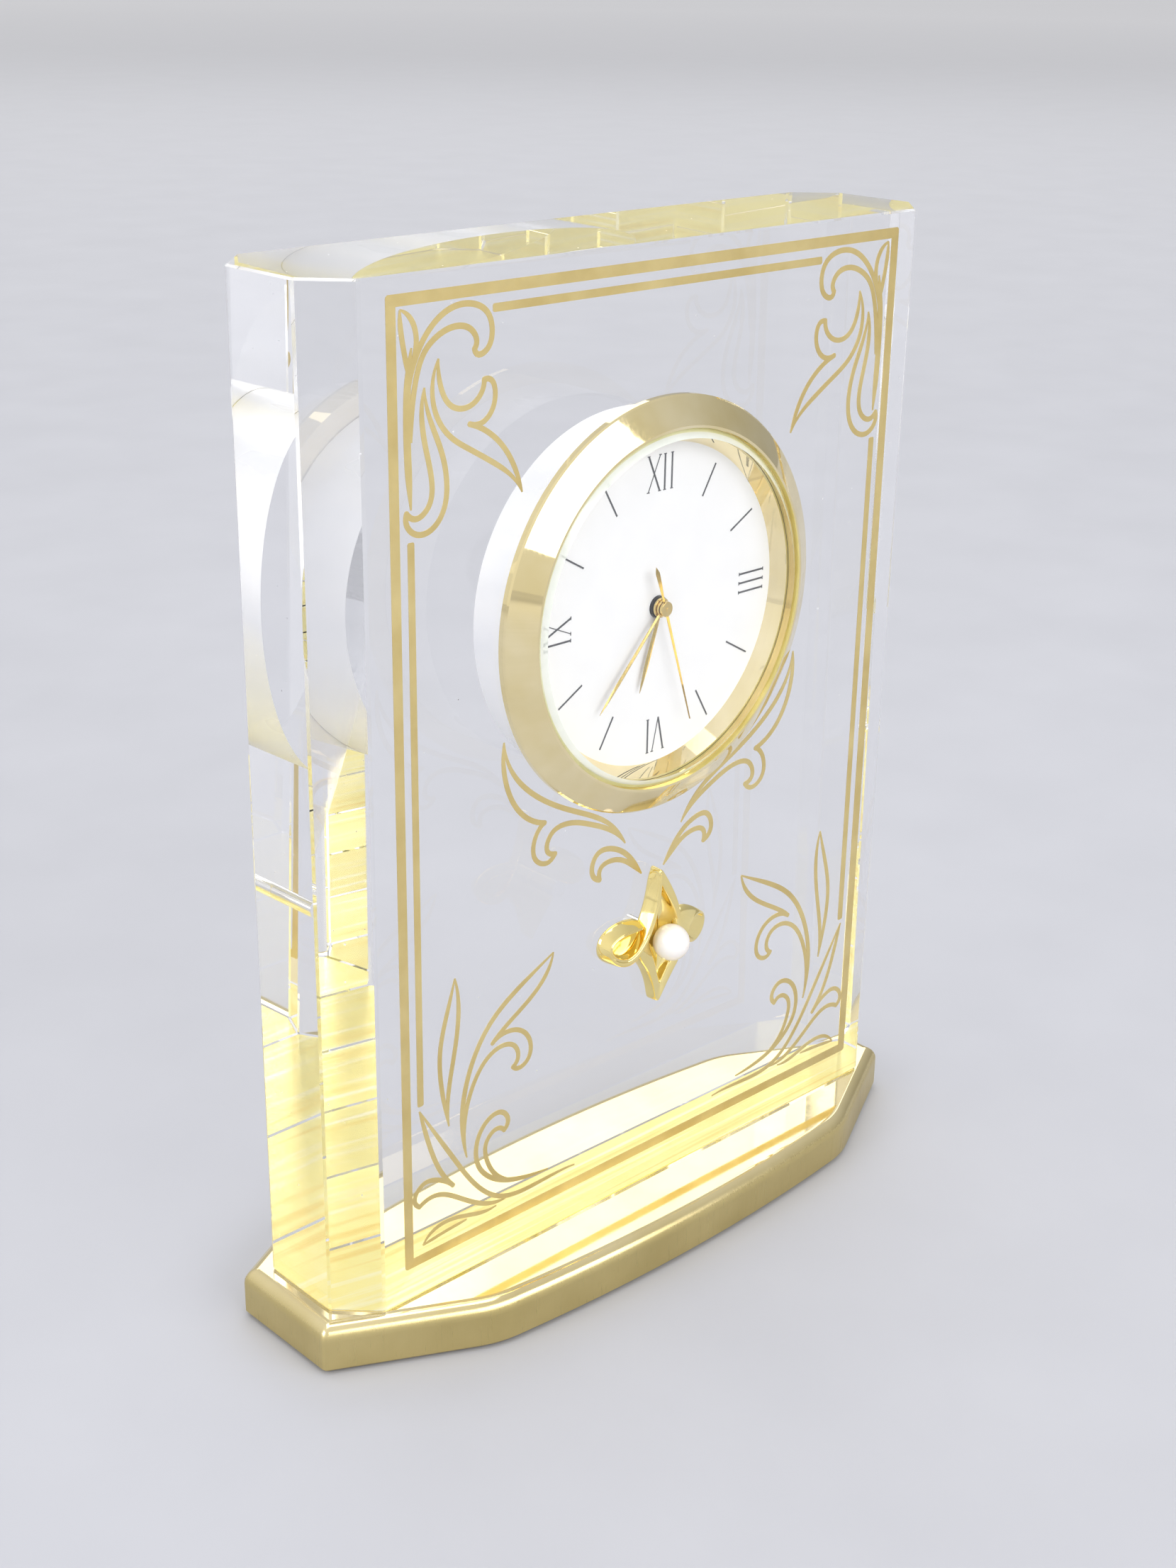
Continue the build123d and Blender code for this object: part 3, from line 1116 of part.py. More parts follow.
def make_coil():
    """The motor coil on its bobbin, wound round the stator's bar."""
    winding = Rot(0, 90, 0) * Cylinder(COIL_RADIUS - 0.2, COIL_LENGTH)
    for side in (-1, 1):
        flange = Rot(0, 90, 0) * Cylinder(COIL_RADIUS, BOBBIN_FLANGE)
        winding += Pos(side * (COIL_LENGTH + BOBBIN_FLANGE) / 2, 0, 0) * flange
    bore = Box(2 * COIL_LENGTH, STATOR_BAR + 2 * FIT, STATOR_THICKNESS + 2 * FIT)
    return CLOCK * (Pos(COIL_CENTRE[0], COIL_CENTRE[1], COIL_LEVEL) * (winding - bore))


# ---------------------------------------------------------------- write the parts


def all_parts():
    """Every node of the model by name."""
    return {
        "crystal_block": make_block(),
        "base_plate": make_base(),
        "base_pad": make_pad(),
        "bond_sheet": make_bond(),
        "frame_outer_line": make_outer_frame(),
        "frame_inner_lines": make_inner_frame(),
        "scroll_lines": make_scrolls(),
        "ornament_casting": make_ornament(),
        "ornament_post": make_post(),
        "pearl": make_pearl(),
        "pearl_peg": make_peg(),
        "bezel_ring": make_bezel(),
        "lens": make_lens(),
        "reflector_ring": make_reflector(),
        "dial_plate": make_dial(),
        "dial_markers": make_markers(),
        "housing_cup": make_cup(),
        "grip_band": make_grip(),
        "battery_cover": make_battery_cover(),
        "setting_knob": make_knob(),
        "front_plate": make_front_plate(),
        "back_plate": make_back_plate(),
        "plate_pillars": make_pillars(),
        "plate_screws": make_plate_screws(),
        "centre_nut": make_centre_nut(),
        "rotor": make_rotor(),
        "step_wheel": make_step_wheel(),
        "seconds_wheel": make_seconds_wheel(),
        "third_wheel": make_third_wheel(),
        "centre_wheel": make_centre_wheel(),
        "cannon_pinion": make_cannon_pinion(),
        "minute_wheel": make_minute_wheel(),
        "hour_wheel": make_hour_wheel(),
        "setting_wheel": make_setting_wheel(),
        "hour_hand": make_hand(HOUR_HAND_LENGTH, HOUR_HAND_WIDTH, HOUR_HAND_LEVEL, HOUR_TUBE_INNER,
                               HOUR_HAND_ANGLE),
        "minute_hand": make_hand(MINUTE_HAND_LENGTH, MINUTE_HAND_WIDTH, MINUTE_HAND_LEVEL, CANNON_INNER,
                                 MINUTE_HAND_ANGLE),
        "second_hand": make_second_hand(),
        "battery": make_battery(),
        "battery_contacts": make_contacts(),
        "circuit_board": make_board(),
        "clock_chip": make_chip(),
        "quartz_can": make_crystal_can(),
        "stator": make_stator(),
        "coil": make_coil(),
    }


def main():
    """Write one STEP file per node."""
    os.makedirs("parts", exist_ok=True)
    for name, shape in all_parts().items():
        shape.label = name
        export_step(shape, f"parts/{name}.step")


main()
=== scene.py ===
import math
import bmesh
import bpy
from mathutils import Matrix, Vector


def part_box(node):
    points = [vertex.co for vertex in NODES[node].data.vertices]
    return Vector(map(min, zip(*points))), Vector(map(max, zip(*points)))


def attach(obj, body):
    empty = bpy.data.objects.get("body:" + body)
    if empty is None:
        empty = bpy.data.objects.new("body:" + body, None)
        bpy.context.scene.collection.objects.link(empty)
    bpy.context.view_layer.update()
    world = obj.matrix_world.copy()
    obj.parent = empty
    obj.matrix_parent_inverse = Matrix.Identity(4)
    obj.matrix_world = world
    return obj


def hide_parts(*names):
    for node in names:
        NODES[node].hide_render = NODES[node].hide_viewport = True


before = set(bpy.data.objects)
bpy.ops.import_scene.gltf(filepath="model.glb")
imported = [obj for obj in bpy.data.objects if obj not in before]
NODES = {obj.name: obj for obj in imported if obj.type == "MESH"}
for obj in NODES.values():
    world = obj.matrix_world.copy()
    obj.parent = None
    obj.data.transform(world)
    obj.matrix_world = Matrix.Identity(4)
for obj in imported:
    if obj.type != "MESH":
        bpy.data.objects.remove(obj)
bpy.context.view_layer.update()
scene = bpy.context.scene

# Blender works in metres. The shapes of the clock and of the ornament are in mm from their own
# centres, and a noise's scale is in cells per metre.
MM = 0.001
MICRON = 0.000001
WHITE = (1, 1, 1, 1)
EVEN = (1, 1, 1)


# ---------------------------------------------------------------- node helpers

class Shader:
    """A material's node tree with short calls for the nodes used here."""

    def __init__(self, name):
        self.material = bpy.data.materials.new(name)
        self.material.use_nodes = True
        self.tree = self.material.node_tree
        self.tree.nodes.clear()
        self.output = self.node("ShaderNodeOutputMaterial")

    def node(self, kind, **values):
        made = self.tree.nodes.new(kind)
        for key, value in values.items():
            setattr(made, key, value)
        return made

    def link(self, source, target):
        self.tree.links.new(source, target)

    def put(self, socket, value):
        if isinstance(value, bpy.types.NodeSocket):
            self.link(value, socket)
        else:
            socket.default_value = value

    def principled(self, **values):
        """The main shader; a socket is named with _ for each space."""
        shader = self.node("ShaderNodeBsdfPrincipled")
        for key, value in values.items():
            self.put(shader.inputs[key.replace("_", " ")], value)
        self.link(shader.outputs[0], self.output.inputs["Surface"])
        return shader

    def coords(self, scale=EVEN):
        """The place on the object. A scale under 1 stretches a texture along that axis."""
        place = self.node("ShaderNodeTexCoord")
        mapping = self.node("ShaderNodeMapping")
        mapping.inputs["Scale"].default_value = scale
        self.link(place.outputs["Object"], mapping.inputs["Vector"])
        return mapping.outputs["Vector"]

    def noise(self, scale, detail=2.0, stretch=EVEN, roughness=0.5):
        made = self.node("ShaderNodeTexNoise")
        self.link(self.coords(stretch), made.inputs["Vector"])
        made.inputs["Scale"].default_value = scale
        made.inputs["Detail"].default_value = detail
        made.inputs["Roughness"].default_value = roughness
        return made.outputs["Fac"]

    def spread(self, value, low, high, start=0.3, end=0.7):
        """A value from start to end mapped on low to high."""
        made = self.node("ShaderNodeMapRange")
        self.put(made.inputs["Value"], value)
        made.inputs["From Min"].default_value = start
        made.inputs["From Max"].default_value = end
        made.inputs["To Min"].default_value = low
        made.inputs["To Max"].default_value = high
        return made.outputs["Result"]

    def math(self, operation, first, second):
        made = self.node("ShaderNodeMath", operation=operation)
        self.put(made.inputs[0], first)
        self.put(made.inputs[1], second)
        return made.outputs[0]

    def mix(self, factor, first, second):
        made = self.node("ShaderNodeMix", data_type="RGBA")
        self.put(made.inputs["Factor"], factor)
        self.put(made.inputs["A"], first)
        self.put(made.inputs["B"], second)
        return made.outputs["Result"]

    def blend_shaders(self, factor, first, second):
        made = self.node("ShaderNodeMixShader")
        self.link(factor, made.inputs["Fac"])
        self.link(first, made.inputs[1])
        self.link(second, made.inputs[2])
        return made.outputs[0]

    def lit_through(self, glass, shade):
        """The glass, but clear to shadow and diffuse rays, so that what is behind it is lit."""
        clear = self.node("ShaderNodeBsdfTransparent")
        clear.inputs["Color"].default_value = (shade, shade, shade, 1)
        paths = self.node("ShaderNodeLightPath")
        soft = [paths.outputs[ray] for ray in ("Is Shadow Ray", "Is Diffuse Ray")]
        return self.blend_shaders(self.math("MAXIMUM", *soft), glass.outputs[0], clear.outputs[0])

    def specks(self, scale):
        """Sparse specks of dust: a small round spot in some of the cells."""
        cells = self.node("ShaderNodeTexVoronoi")
        self.link(self.coords(), cells.inputs["Vector"])
        cells.inputs["Scale"].default_value = scale
        chance = self.node("ShaderNodeSeparateXYZ")
        self.link(cells.outputs["Color"], chance.inputs[0])
        size = self.spread(chance.outputs["X"], 0.0, 0.05, 0.55, 1.0)
        return self.math("LESS_THAN", cells.outputs["Distance"], size)

    def bump(self, height, distance, strength=1.0):
        made = self.node("ShaderNodeBump")
        made.inputs["Distance"].default_value = distance
        made.inputs["Strength"].default_value = strength
        self.link(height, made.inputs["Height"])
        return made.outputs["Normal"]


def rgb(red, green, blue):
    """A colour written as it looks on screen, from 0 to 255."""
    def linear(value):
        share = value / 255
        return share / 12.92 if share <= 0.04045 else ((share + 0.055) / 1.055) ** 2.4
    return (linear(red), linear(green), linear(blue), 1.0)


# ---------------------------------------------------------------- materials

GRAIN_DEPTH = 6 * MICRON


def polished_gilt(name, dark, light, roughness):
    """Polished gilt, a little cloudy, with fine upright marks."""
    make = Shader(name)
    cloud = make.noise(120.0, 3.0)
    fine = make.noise(2600.0, 2.0, (1, 1, 0.08))
    make.principled(
        Base_Color=make.mix(make.spread(cloud, 0, 1), dark, light),
        Metallic=1.0,
        Roughness=make.spread(fine, *roughness),
        Normal=make.bump(fine, 2 * MICRON, 0.25),
    )
    return make.material


def satin_gilt_painted_light(name):
    """Gilt base: darker round the sides, with upright brush lines, and near mirror on top; the
    darker sides and paler top are painted light and shade.
    """
    make = Shader(name)
    normal = make.node("ShaderNodeTexCoord").outputs["Normal"]
    parts = make.node("ShaderNodeSeparateXYZ")
    make.link(normal, parts.inputs[0])
    flat = make.spread(parts.outputs["Z"], 0, 1, 0.35, 0.95)
    brush = make.noise(5200.0, 3.0, (1, 1, 0.02), 0.65)
    cloud = make.noise(90.0, 4.0)
    rough = make.spread(brush, 0.26, 0.4)
    smooth = make.spread(make.noise(700.0, 4.0), 0.045, 0.1)
    mixer = make.node("ShaderNodeMix", data_type="FLOAT")
    make.link(flat, mixer.inputs["Factor"])
    make.link(rough, mixer.inputs["A"])
    make.link(smooth, mixer.inputs["B"])
    lines = make.math("MULTIPLY", brush, make.math("SUBTRACT", 1.0, flat))
    make.principled(
        # painted light and shade: the colour runs from darker sides to a paler top by how far each
        # face looks up
        Base_Color=make.mix(
            flat,
            make.mix(make.spread(cloud, 0, 1), rgb(200, 182, 124), rgb(214, 196, 138)),
            make.mix(make.spread(cloud, 0, 1), rgb(240, 222, 168), rgb(250, 234, 186))),
        Metallic=1.0,
        Roughness=mixer.outputs["Result"],
        Normal=make.bump(lines, GRAIN_DEPTH, 0.3),
    )
    return make.material


def clear_solid(name, ior, tint, dust=0.0):
    """Clear glass or acrylic with a hardly wavy face, and dust where its scale is given."""
    make = Shader(name)
    glass = make.principled(
        Base_Color=tint,
        Roughness=0.0,
        IOR=ior,
        Transmission_Weight=1.0,
        Normal=make.bump(make.noise(60.0, 2.0), 3 * MICRON, 0.03),
    )
    last = make.lit_through(glass, 0.97)
    if dust:
        specks = make.node("ShaderNodeBsdfDiffuse")
        specks.inputs["Color"].default_value = rgb(238, 238, 240)
        last = make.blend_shaders(make.specks(dust), last, specks.outputs[0])
    make.link(last, make.output.inputs["Surface"])
    return make.material


def flat_pane(name):
    """The clock glass: a polished coat over an even pane, with faint wipe marks. The pane doesn't
    bend light, because the dial and the hands were placed without refraction."""
    make = Shader(name)
    pane = make.principled(
        Base_Color=WHITE,
        Roughness=0.0,
        IOR=1.0,
        Transmission_Weight=1.0,
        Coat_Weight=1.0,
        Coat_IOR=1.5,
        Coat_Roughness=make.spread(make.noise(350.0, 4.0, (1, 1, 0.2)), 0.0, 0.03),
    )
    make.link(make.lit_through(pane, 0.98), make.output.inputs["Surface"])
    return make.material


def plain_metal(name, dark, light, roughness, brush=EVEN):
    """Metal with a fine grain, stretched by brush into brush lines."""
    make = Shader(name)
    grain = make.noise(1800.0, 4.0, brush)
    make.principled(
        Base_Color=make.mix(make.spread(make.noise(150.0, 3.0), 0, 1), dark, light),
        Metallic=1.0,
        Roughness=make.spread(grain, *roughness),
        Normal=make.bump(grain, GRAIN_DEPTH, 0.3),
    )
    return make.material


def plain_coat(name, dark, light, roughness):
    """Enamel, ink or moulded plastic."""
    make = Shader(name)
    grain = make.noise(1500.0, 4.0)
    make.principled(
        Base_Color=make.mix(make.spread(make.noise(200.0, 3.0), 0, 1), dark, light),
        Roughness=make.spread(grain, *roughness),
        Normal=make.bump(grain, 5 * MICRON, 0.4),
    )
    return make.material


def glass_edge(name, dark, light):
    """The ground bevel of the clock glass: pale, with a faint green cast."""
    make = Shader(name)
    grain = make.noise(500.0, 2.0)
    make.principled(
        Base_Color=make.mix(make.spread(grain, 0, 1), dark, light),
        Roughness=make.spread(grain, 0.14, 0.2),
        IOR=1.5,
        Transmission_Weight=0.35,
        Coat_Weight=0.6,
        Coat_Roughness=0.03,
    )
    return make.material


def bore_material():
    """The bright wall of the bore, with soft clouds."""
    make = Shader("bore_wall")
    cloud = make.noise(110.0, 3.0, (1, 0.3, 1))
    make.principled(
        Base_Color=make.mix(make.spread(cloud, 0, 1), rgb(238, 240, 246), rgb(252, 252, 254)),
        Metallic=0.35,
        Roughness=make.spread(cloud, 0.24, 0.36),
        Normal=make.bump(cloud, 20 * MICRON, 0.4),
    )
    return make.material


def bond_material():
    """Gilt seen through the block's foot, with painted reflections along the block: soft amber
    streaks and pale painted highlight streaks.
    """
    make = Shader("bond_gilt")
    cloud = make.spread(make.noise(150.0, 3.0), 0, 1)
    # painted reflection and highlight: amber streaks and pale streaks along the block
    painted_streak = make.noise(420.0, 3.0, (0.04, 1, 1))
    even = make.mix(cloud, rgb(249, 235, 146), rgb(253, 242, 162))
    amber = make.mix(make.spread(painted_streak, 0, 0.75, 0.55, 0.7), even, rgb(242, 208, 104))
    grain = make.noise(1800.0, 4.0)
    make.principled(
        # the pale streaks are a painted highlight
        Base_Color=make.mix(make.spread(painted_streak, 0.7, 0, 0.32, 0.44), amber, rgb(255, 251, 222)),
        Metallic=1.0,
        Roughness=make.spread(grain, 0.28, 0.4),
        Normal=make.bump(grain, GRAIN_DEPTH, 0.3),
    )
    return make.material


def pearl_material():
    """Nacre: faint bands, a rosy cast towards its outline that is a painted sheen following the
    view angle, and a soft lustre.
    """
    make = Shader("nacre")
    bands = make.noise(260.0, 3.0, (1, 1, 2.5))
    # painted sheen: the rosy cast grows where the surface turns away from the view
    facing = make.node("ShaderNodeLayerWeight")
    facing.inputs["Blend"].default_value = 0.25
    body = make.mix(make.spread(bands, 0, 1), rgb(250, 247, 244), rgb(254, 251, 246))
    rosy_painted_sheen = make.mix(facing.outputs["Facing"], body, rgb(238, 222, 214))
    make.principled(
        Base_Color=rosy_painted_sheen,
        Roughness=make.spread(bands, 0.22, 0.3),
        Subsurface_Weight=0.25,
        Subsurface_Radius=(0.0008, 0.0006, 0.0005),
        Subsurface_Scale=1.0,
        Coat_Weight=0.6,
        Coat_Roughness=0.08,
        Sheen_Weight=0.15,
        Normal=make.bump(make.noise(900.0, 3.0), GRAIN_DEPTH, 0.25),
    )
    return make.material


def felt_material():
    """Black felt."""
    make = Shader("felt")
    fibre = make.noise(4200.0, 6.0, EVEN, 0.8)
    make.principled(
        Base_Color=make.mix(make.spread(fibre, 0, 1), rgb(18, 18, 22), rgb(44, 44, 50)),
        Roughness=0.95,
        Sheen_Weight=0.4,
        Normal=make.bump(fibre, 80 * MICRON, 0.8),
    )
    return make.material


def board_material():
    """Green lacquered circuit board with a faint weave."""
    make = Shader("board")
    weave = make.noise(2400.0, 3.0, (1, 1, 0.3))
    make.principled(
        Base_Color=make.mix(make.spread(weave, 0, 1), rgb(16, 74, 38), rgb(28, 102, 54)),
        Roughness=0.35,
        Coat_Weight=0.4,
        Normal=make.bump(weave, 10 * MICRON, 0.3),
    )
    return make.material


def wire_material():
    """Copper wire in close turns, darker in the grooves between the turns as painted shade."""
    make = Shader("winding")
    wave = make.node("ShaderNodeTexWave", wave_type="BANDS", bands_direction="X")
    make.link(make.coords(), wave.inputs["Vector"])
    wave.inputs["Scale"].default_value = 2600.0
    make.principled(
        # painted shade: the bands are darker where the bump sinks into the grooves between turns
        Base_Color=make.mix(wave.outputs["Fac"], rgb(150, 74, 34), rgb(214, 128, 74)),
        Metallic=1.0,
        Roughness=0.3,
        Normal=make.bump(wave.outputs["Fac"], 30 * MICRON, 0.8),
    )
    return make.material


DUST_SCALE = 420.0
BRUSHED_ALONG_AXIS = (1, 0.05, 1)
MATERIALS = {
    "clear_crystal": clear_solid("clear_block", 1.5, WHITE, DUST_SCALE),
    "gilt_satin": satin_gilt_painted_light("base_gilt_painted_light"),
    "felt": felt_material(),
    "bond": bond_material(),
    "gilt_line": plain_metal(
        "gilt_paint", rgb(222, 199, 134), rgb(238, 218, 156), (0.34, 0.46)),
    "gilt_polished": polished_gilt(
        "bezel_gilt", rgb(240, 216, 150), rgb(250, 230, 172), (0.015, 0.05)),
    "silver_post": plain_metal(
        "post_silver", rgb(225, 225, 226), rgb(244, 244, 242), (0.12, 0.22)),
    "pearl": pearl_material(),
    "gilt_mirror": polished_gilt(
        "reflector_gilt", rgb(240, 222, 168), rgb(252, 238, 196), (0.02, 0.05)),
    "lens_glass": flat_pane("clock_glass"),
    "dial_white": plain_coat("dial_enamel", rgb(250, 250, 249), rgb(254, 254, 253), (0.35, 0.45)),
    "marker_grey": plain_coat("dial_ink", rgb(54, 56, 60), rgb(84, 86, 90), (0.35, 0.5)),
    "silver_case": plain_metal(
        "case_silver", rgb(214, 216, 220), rgb(240, 241, 243), (0.14, 0.24), BRUSHED_ALONG_AXIS),
    "clear_rubber": clear_solid("grip_rubber", 1.45, (0.97, 0.97, 0.96, 1)),
    "black_plastic": plain_coat("black_plastic", rgb(16, 16, 17), rgb(30, 30, 32), (0.4, 0.55)),
    "white_plastic": plain_coat(
        "white_plastic", rgb(214, 213, 208), rgb(230, 229, 224), (0.4, 0.5)),
    "brass_plain": plain_metal("brass", rgb(196, 156, 78), rgb(220, 184, 104), (0.18, 0.3)),
    "steel_plain": plain_metal("steel", rgb(160, 162, 166), rgb(196, 198, 202), (0.18, 0.3)),
    # painted shade: the hands' gilt is a darker copy of the polished gilt
    "gilt_hand": polished_gilt("hand_gilt_painted_shade", rgb(166, 144, 82), rgb(194, 172, 108), (0.18, 0.28)),
    "board_green": board_material(),
    "copper_wire": wire_material(),
}
GLASS_RIM = glass_edge("glass_rim", rgb(226, 228, 178), rgb(236, 238, 196))
GLASS_EDGE = glass_edge("glass_edge", rgb(240, 246, 236), rgb(248, 252, 244))
BORE_WALL = bore_material()
DARK_RING = plain_metal("dark_ring", rgb(20, 20, 22), rgb(44, 43, 42), (0.25, 0.35))
CAST_GILT = polished_gilt("cast_gilt", rgb(246, 222, 144), rgb(254, 238, 172), (0.03, 0.1))
# painted shade: the hubs' gilt is a darker copy of the polished gilt
HUB_GILT_PAINTED_SHADE = polished_gilt("hub_gilt_painted_shade", rgb(200, 174, 104), rgb(228, 204, 138), (0.04, 0.1))


def dress_nodes():
    """Each CAD node gets the finish of its slot, and the bush round the hands' tubes a dark one."""
    for item in NODES.values():
        slot = item.material_slots[0].name.split(".")[0]
        item.data.materials.clear()
        item.data.materials.append(MATERIALS[slot])
    NODES["centre_nut"].data.materials[0] = DARK_RING


# ---------------------------------------------------------------- mesh helpers

def smooth_path(points, steps, closed=False):
    """A Catmull-Rom line through the points, in any number of dimensions."""
    count = len(points)
    spans = count if closed else count - 1
    line = []
    for index in range(spans):
        near = [index - 1, index, index + 1, index + 2]
        if closed:
            p0, p1, p2, p3 = [points[k % count] for k in near]
        else:
            p0, p1, p2, p3 = [points[min(max(k, 0), count - 1)] for k in near]
        for step in range(steps):
            t = step / steps
            line.append(tuple(
                0.5 * (2 * b + (c - a) * t + (2 * a - 5 * b + 4 * c - d) * t * t
                       + (3 * b - a - 3 * c + d) * t ** 3)
                for a, b, c, d in zip(p0, p1, p2, p3)))
    if not closed:
        line.append(tuple(points[-1]))
    return line


def blend(first, second, share):
    """The point a share of the way from the first to the second."""
    return tuple(a + (b - a) * share for a, b in zip(first, second))


class Sculpt:
    """Closed skins, each made of rings of points, that become one piece."""

    def __init__(self):
        self.points = []
        self.faces = []

    def rings(self, rings, around=False):
        """Joins closed rings of equal length. The first and last ring are filled, or joined to
        each other with around=True."""
        start = len(self.points)
        size = len(rings[0])
        for ring in rings:
            self.points.extend(ring)
        count = len(rings)
        links = count if around else count - 1
        for r in range(links):
            a = start + r * size
            b = start + ((r + 1) % count) * size
            for k in range(size):
                n = (k + 1) % size
                self.faces.append((a + k, a + n, b + n, b + k))
        if not around:
            last = start + (count - 1) * size
            self.faces.append(tuple(start + k for k in reversed(range(size))))
            self.faces.append(tuple(last + k for k in range(size)))

    def piece(self, name, place, levels=0):
        """The object. place turns a point in mm into metres, and levels is how often it is
        subdivided."""
        mesh = bpy.data.meshes.new(name)
        mesh.from_pydata([place(*point) for point in self.points], [], self.faces)
        mesh.update()
        edit = bmesh.new()
        edit.from_mesh(mesh)
        bmesh.ops.recalc_face_normals(edit, faces=edit.faces)
        edit.to_mesh(mesh)
        edit.free()
        for face in mesh.polygons:
            face.use_smooth = True
        item = bpy.data.objects.new(name, mesh)
        scene.collection.objects.link(item)
        if levels:
            layer = item.modifiers.new("smooth", "SUBSURF")
            layer.levels = levels
            layer.render_levels = levels
        return item


def add_piece(item, body, slot, *nodes):
    """The piece takes the slot's finish, rides on the body and stands for the nodes."""
    item.data.materials.append(MATERIALS[slot])
    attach(item, body)
    if nodes:
        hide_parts(*nodes)


BLOCK_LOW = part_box("crystal_block")[0]
DIAL_LOW, DIAL_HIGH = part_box("dial_plate")
CLOCK_X = (DIAL_LOW.x + DIAL_HIGH.x) / 2
CLOCK_Z = (DIAL_LOW.z + DIAL_HIGH.z) / 2

# a turned piece has this many sides, and a solid one is closed by discs of this radius
SIDES = 256
AXIS_RADIUS = 0.02


def on_clock(x, rise, height):
    """From the clock's axis in mm, with height in front of the block's face."""
    return (CLOCK_X + x * MM, BLOCK_LOW.y - height * MM, CLOCK_Z + rise * MM)


def height_of(y):
    """How far a place is in front of the block's face, in mm."""
    return (BLOCK_LOW.y - y) / MM


def turned(name, profile, closed=False, sharp=30.0):
    """A turned piece round the clock's axis. The profile is a list of (radius, height) and starts
    and ends near the axis, or is closed. Edges over sharp degrees stay sharp."""
    sculpt = Sculpt()
    rings = []
    for radius, height in profile:
        rings.append([(radius * math.sin(angle), radius * math.cos(angle), height)
                      for angle in (2 * math.pi * k / SIDES for k in range(SIDES))])
    sculpt.rings(rings, around=closed)
    item = sculpt.piece(name, on_clock)
    item.data.set_sharp_from_angle(angle=math.radians(sharp))
    return item


def rounded(points, radius, steps):
    """A profile whose inner corners are rounded."""
    line = [points[0]]
    for before, corner, after in zip(points, points[1:], points[2:]):
        ends = []
        for other in (before, after):
            reach = math.dist(corner, other)
            ends.append(blend(corner, other, min(radius / reach, 0.45)))
        for step in range(steps + 1):
            t = step / steps
            first = blend(ends[0], corner, t)
            second = blend(corner, ends[1], t)
            line.append(blend(first, second, t))
    line.append(points[-1])
    return line


# ---------------------------------------------------------------- clock

# the width of the clock glass's bevel and of its outer part, the height of its straight wall, and
# about what thickness the bevel leaves
GLASS_BEVEL = 1.1
GLASS_RIM_WIDTH = 0.45
GLASS_WALL = 0.4
GLASS_LEFT = 0.5


def add_lens():
    """The clock glass. Its bevel has two parts: a rim outside and a paler edge inside."""
    low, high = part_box("lens")
    radius = (high.x - low.x) / 2 / MM
    front = height_of(low.y)
    back = height_of(high.y)
    ease = 0.06
    middle = radius - GLASS_RIM_WIDTH
    inside = radius - GLASS_BEVEL
    wall = back + GLASS_WALL
    rise = (front - back - GLASS_LEFT) * GLASS_RIM_WIDTH / GLASS_BEVEL
    profile = [
        (AXIS_RADIUS, back), (radius - ease, back), (radius, back + ease), (radius, wall),
        (radius - ease, wall + ease), (middle, wall + ease + rise), (inside, front - 0.02),
        (inside - 0.05, front), (AXIS_RADIUS, front),
    ]
    item = turned("clock_glass", profile, sharp=8.0)
    add_piece(item, "clock_insert", "lens_glass", "lens")
    item.data.materials.append(GLASS_EDGE)
    item.data.materials.append(GLASS_RIM)
    for face in item.data.polygons:
        away = math.hypot(face.center.x - CLOCK_X, face.center.z - CLOCK_Z) / MM
        if height_of(face.center.y) > wall and away > inside:
            face.material_index = 2 if away > middle else 1


def add_bore_wall():
    """A thin bright sleeve on the wall of the block's bore. The bore's floor stays clear."""
    outer = 22.53
    inner = 22.47
    front = -0.1
    floor = -13.0
    profile = [(outer, front), (outer, floor), (inner, floor), (inner, front)]
    item = turned("bore_wall", profile, closed=True)
    item.data.materials.append(BORE_WALL)
    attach(item, "block_and_base")


# the discs on the hands' axis: name, body, radius, lowest and highest height, and how far the top
# falls towards its edge
HUBS = [
    ("hour_hub", "hours_train", 1.2, 0.12, 0.46, 0.0),
    ("minute_hub", "minutes_train", 1.0, 0.5, 0.82, 0.0),
    ("second_cap", "seconds_train", 0.92, 0.9, 1.36, 0.06),
    ("second_pivot", "seconds_train", 0.24, 1.3, 1.46, 0.04),
]


def add_hubs():
    """The stack of gilt discs that carries the hands."""
    for name, body, radius, low, high, dome in HUBS:
        corners = [(AXIS_RADIUS, low), (radius, low), (radius, high - dome), (AXIS_RADIUS, high)]
        edge = min(0.1, (high - low) / 3)
        item = turned(name, rounded(corners, edge, 5), sharp=60.0)
        item.data.materials.append(HUB_GILT_PAINTED_SHADE)
        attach(item, body)


def hand_frame(node):
    """How far the CAD hand's tip is from the clock's axis, which way it points, and its heights."""
    low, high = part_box(node)
    reaches = []
    for vertex in NODES[node].data.vertices:
        across = (vertex.co.x - CLOCK_X) / MM
        rise = (vertex.co.z - CLOCK_Z) / MM
        reaches.append((math.hypot(across, rise), across, rise))
    length, across, rise = max(reaches, key=lambda reach: reach[0])
    return length, (across / length, rise / length), height_of(high.y), height_of(low.y)


# the thickness of a hand at its edges and at a tip's ridge, and the half width from which the
# ridge has the CAD hand's full height
HAND_EDGE = 0.03
HAND_RIDGE = 0.05
HAND_FULL_HALF = 0.2


def add_hand(name, node, body, blades):
    """A hand of blades with a ridge. Each blade's stations are (share of length, half width)."""
    length, (run, climb), low, high = hand_frame(node)
    edge = low + HAND_EDGE
    sculpt = Sculpt()
    for stations in blades:
        rings = []
        for share, half in stations:
            along = share * length
            full = min(1.0, half / HAND_FULL_HALF)
            ridge = low + HAND_RIDGE + (high - low - HAND_RIDGE) * full
            section = ((-half, low), (-half, edge), (0, ridge), (half, edge), (half, low))
            rings.append([(along * run - side * climb, along * climb + side * run, level)
                          for side, level in section])
        sculpt.rings(rings)
    item = sculpt.piece(name, on_clock)
    for face in item.data.polygons:
        face.use_smooth = False
    add_piece(item, body, "gilt_hand", node)


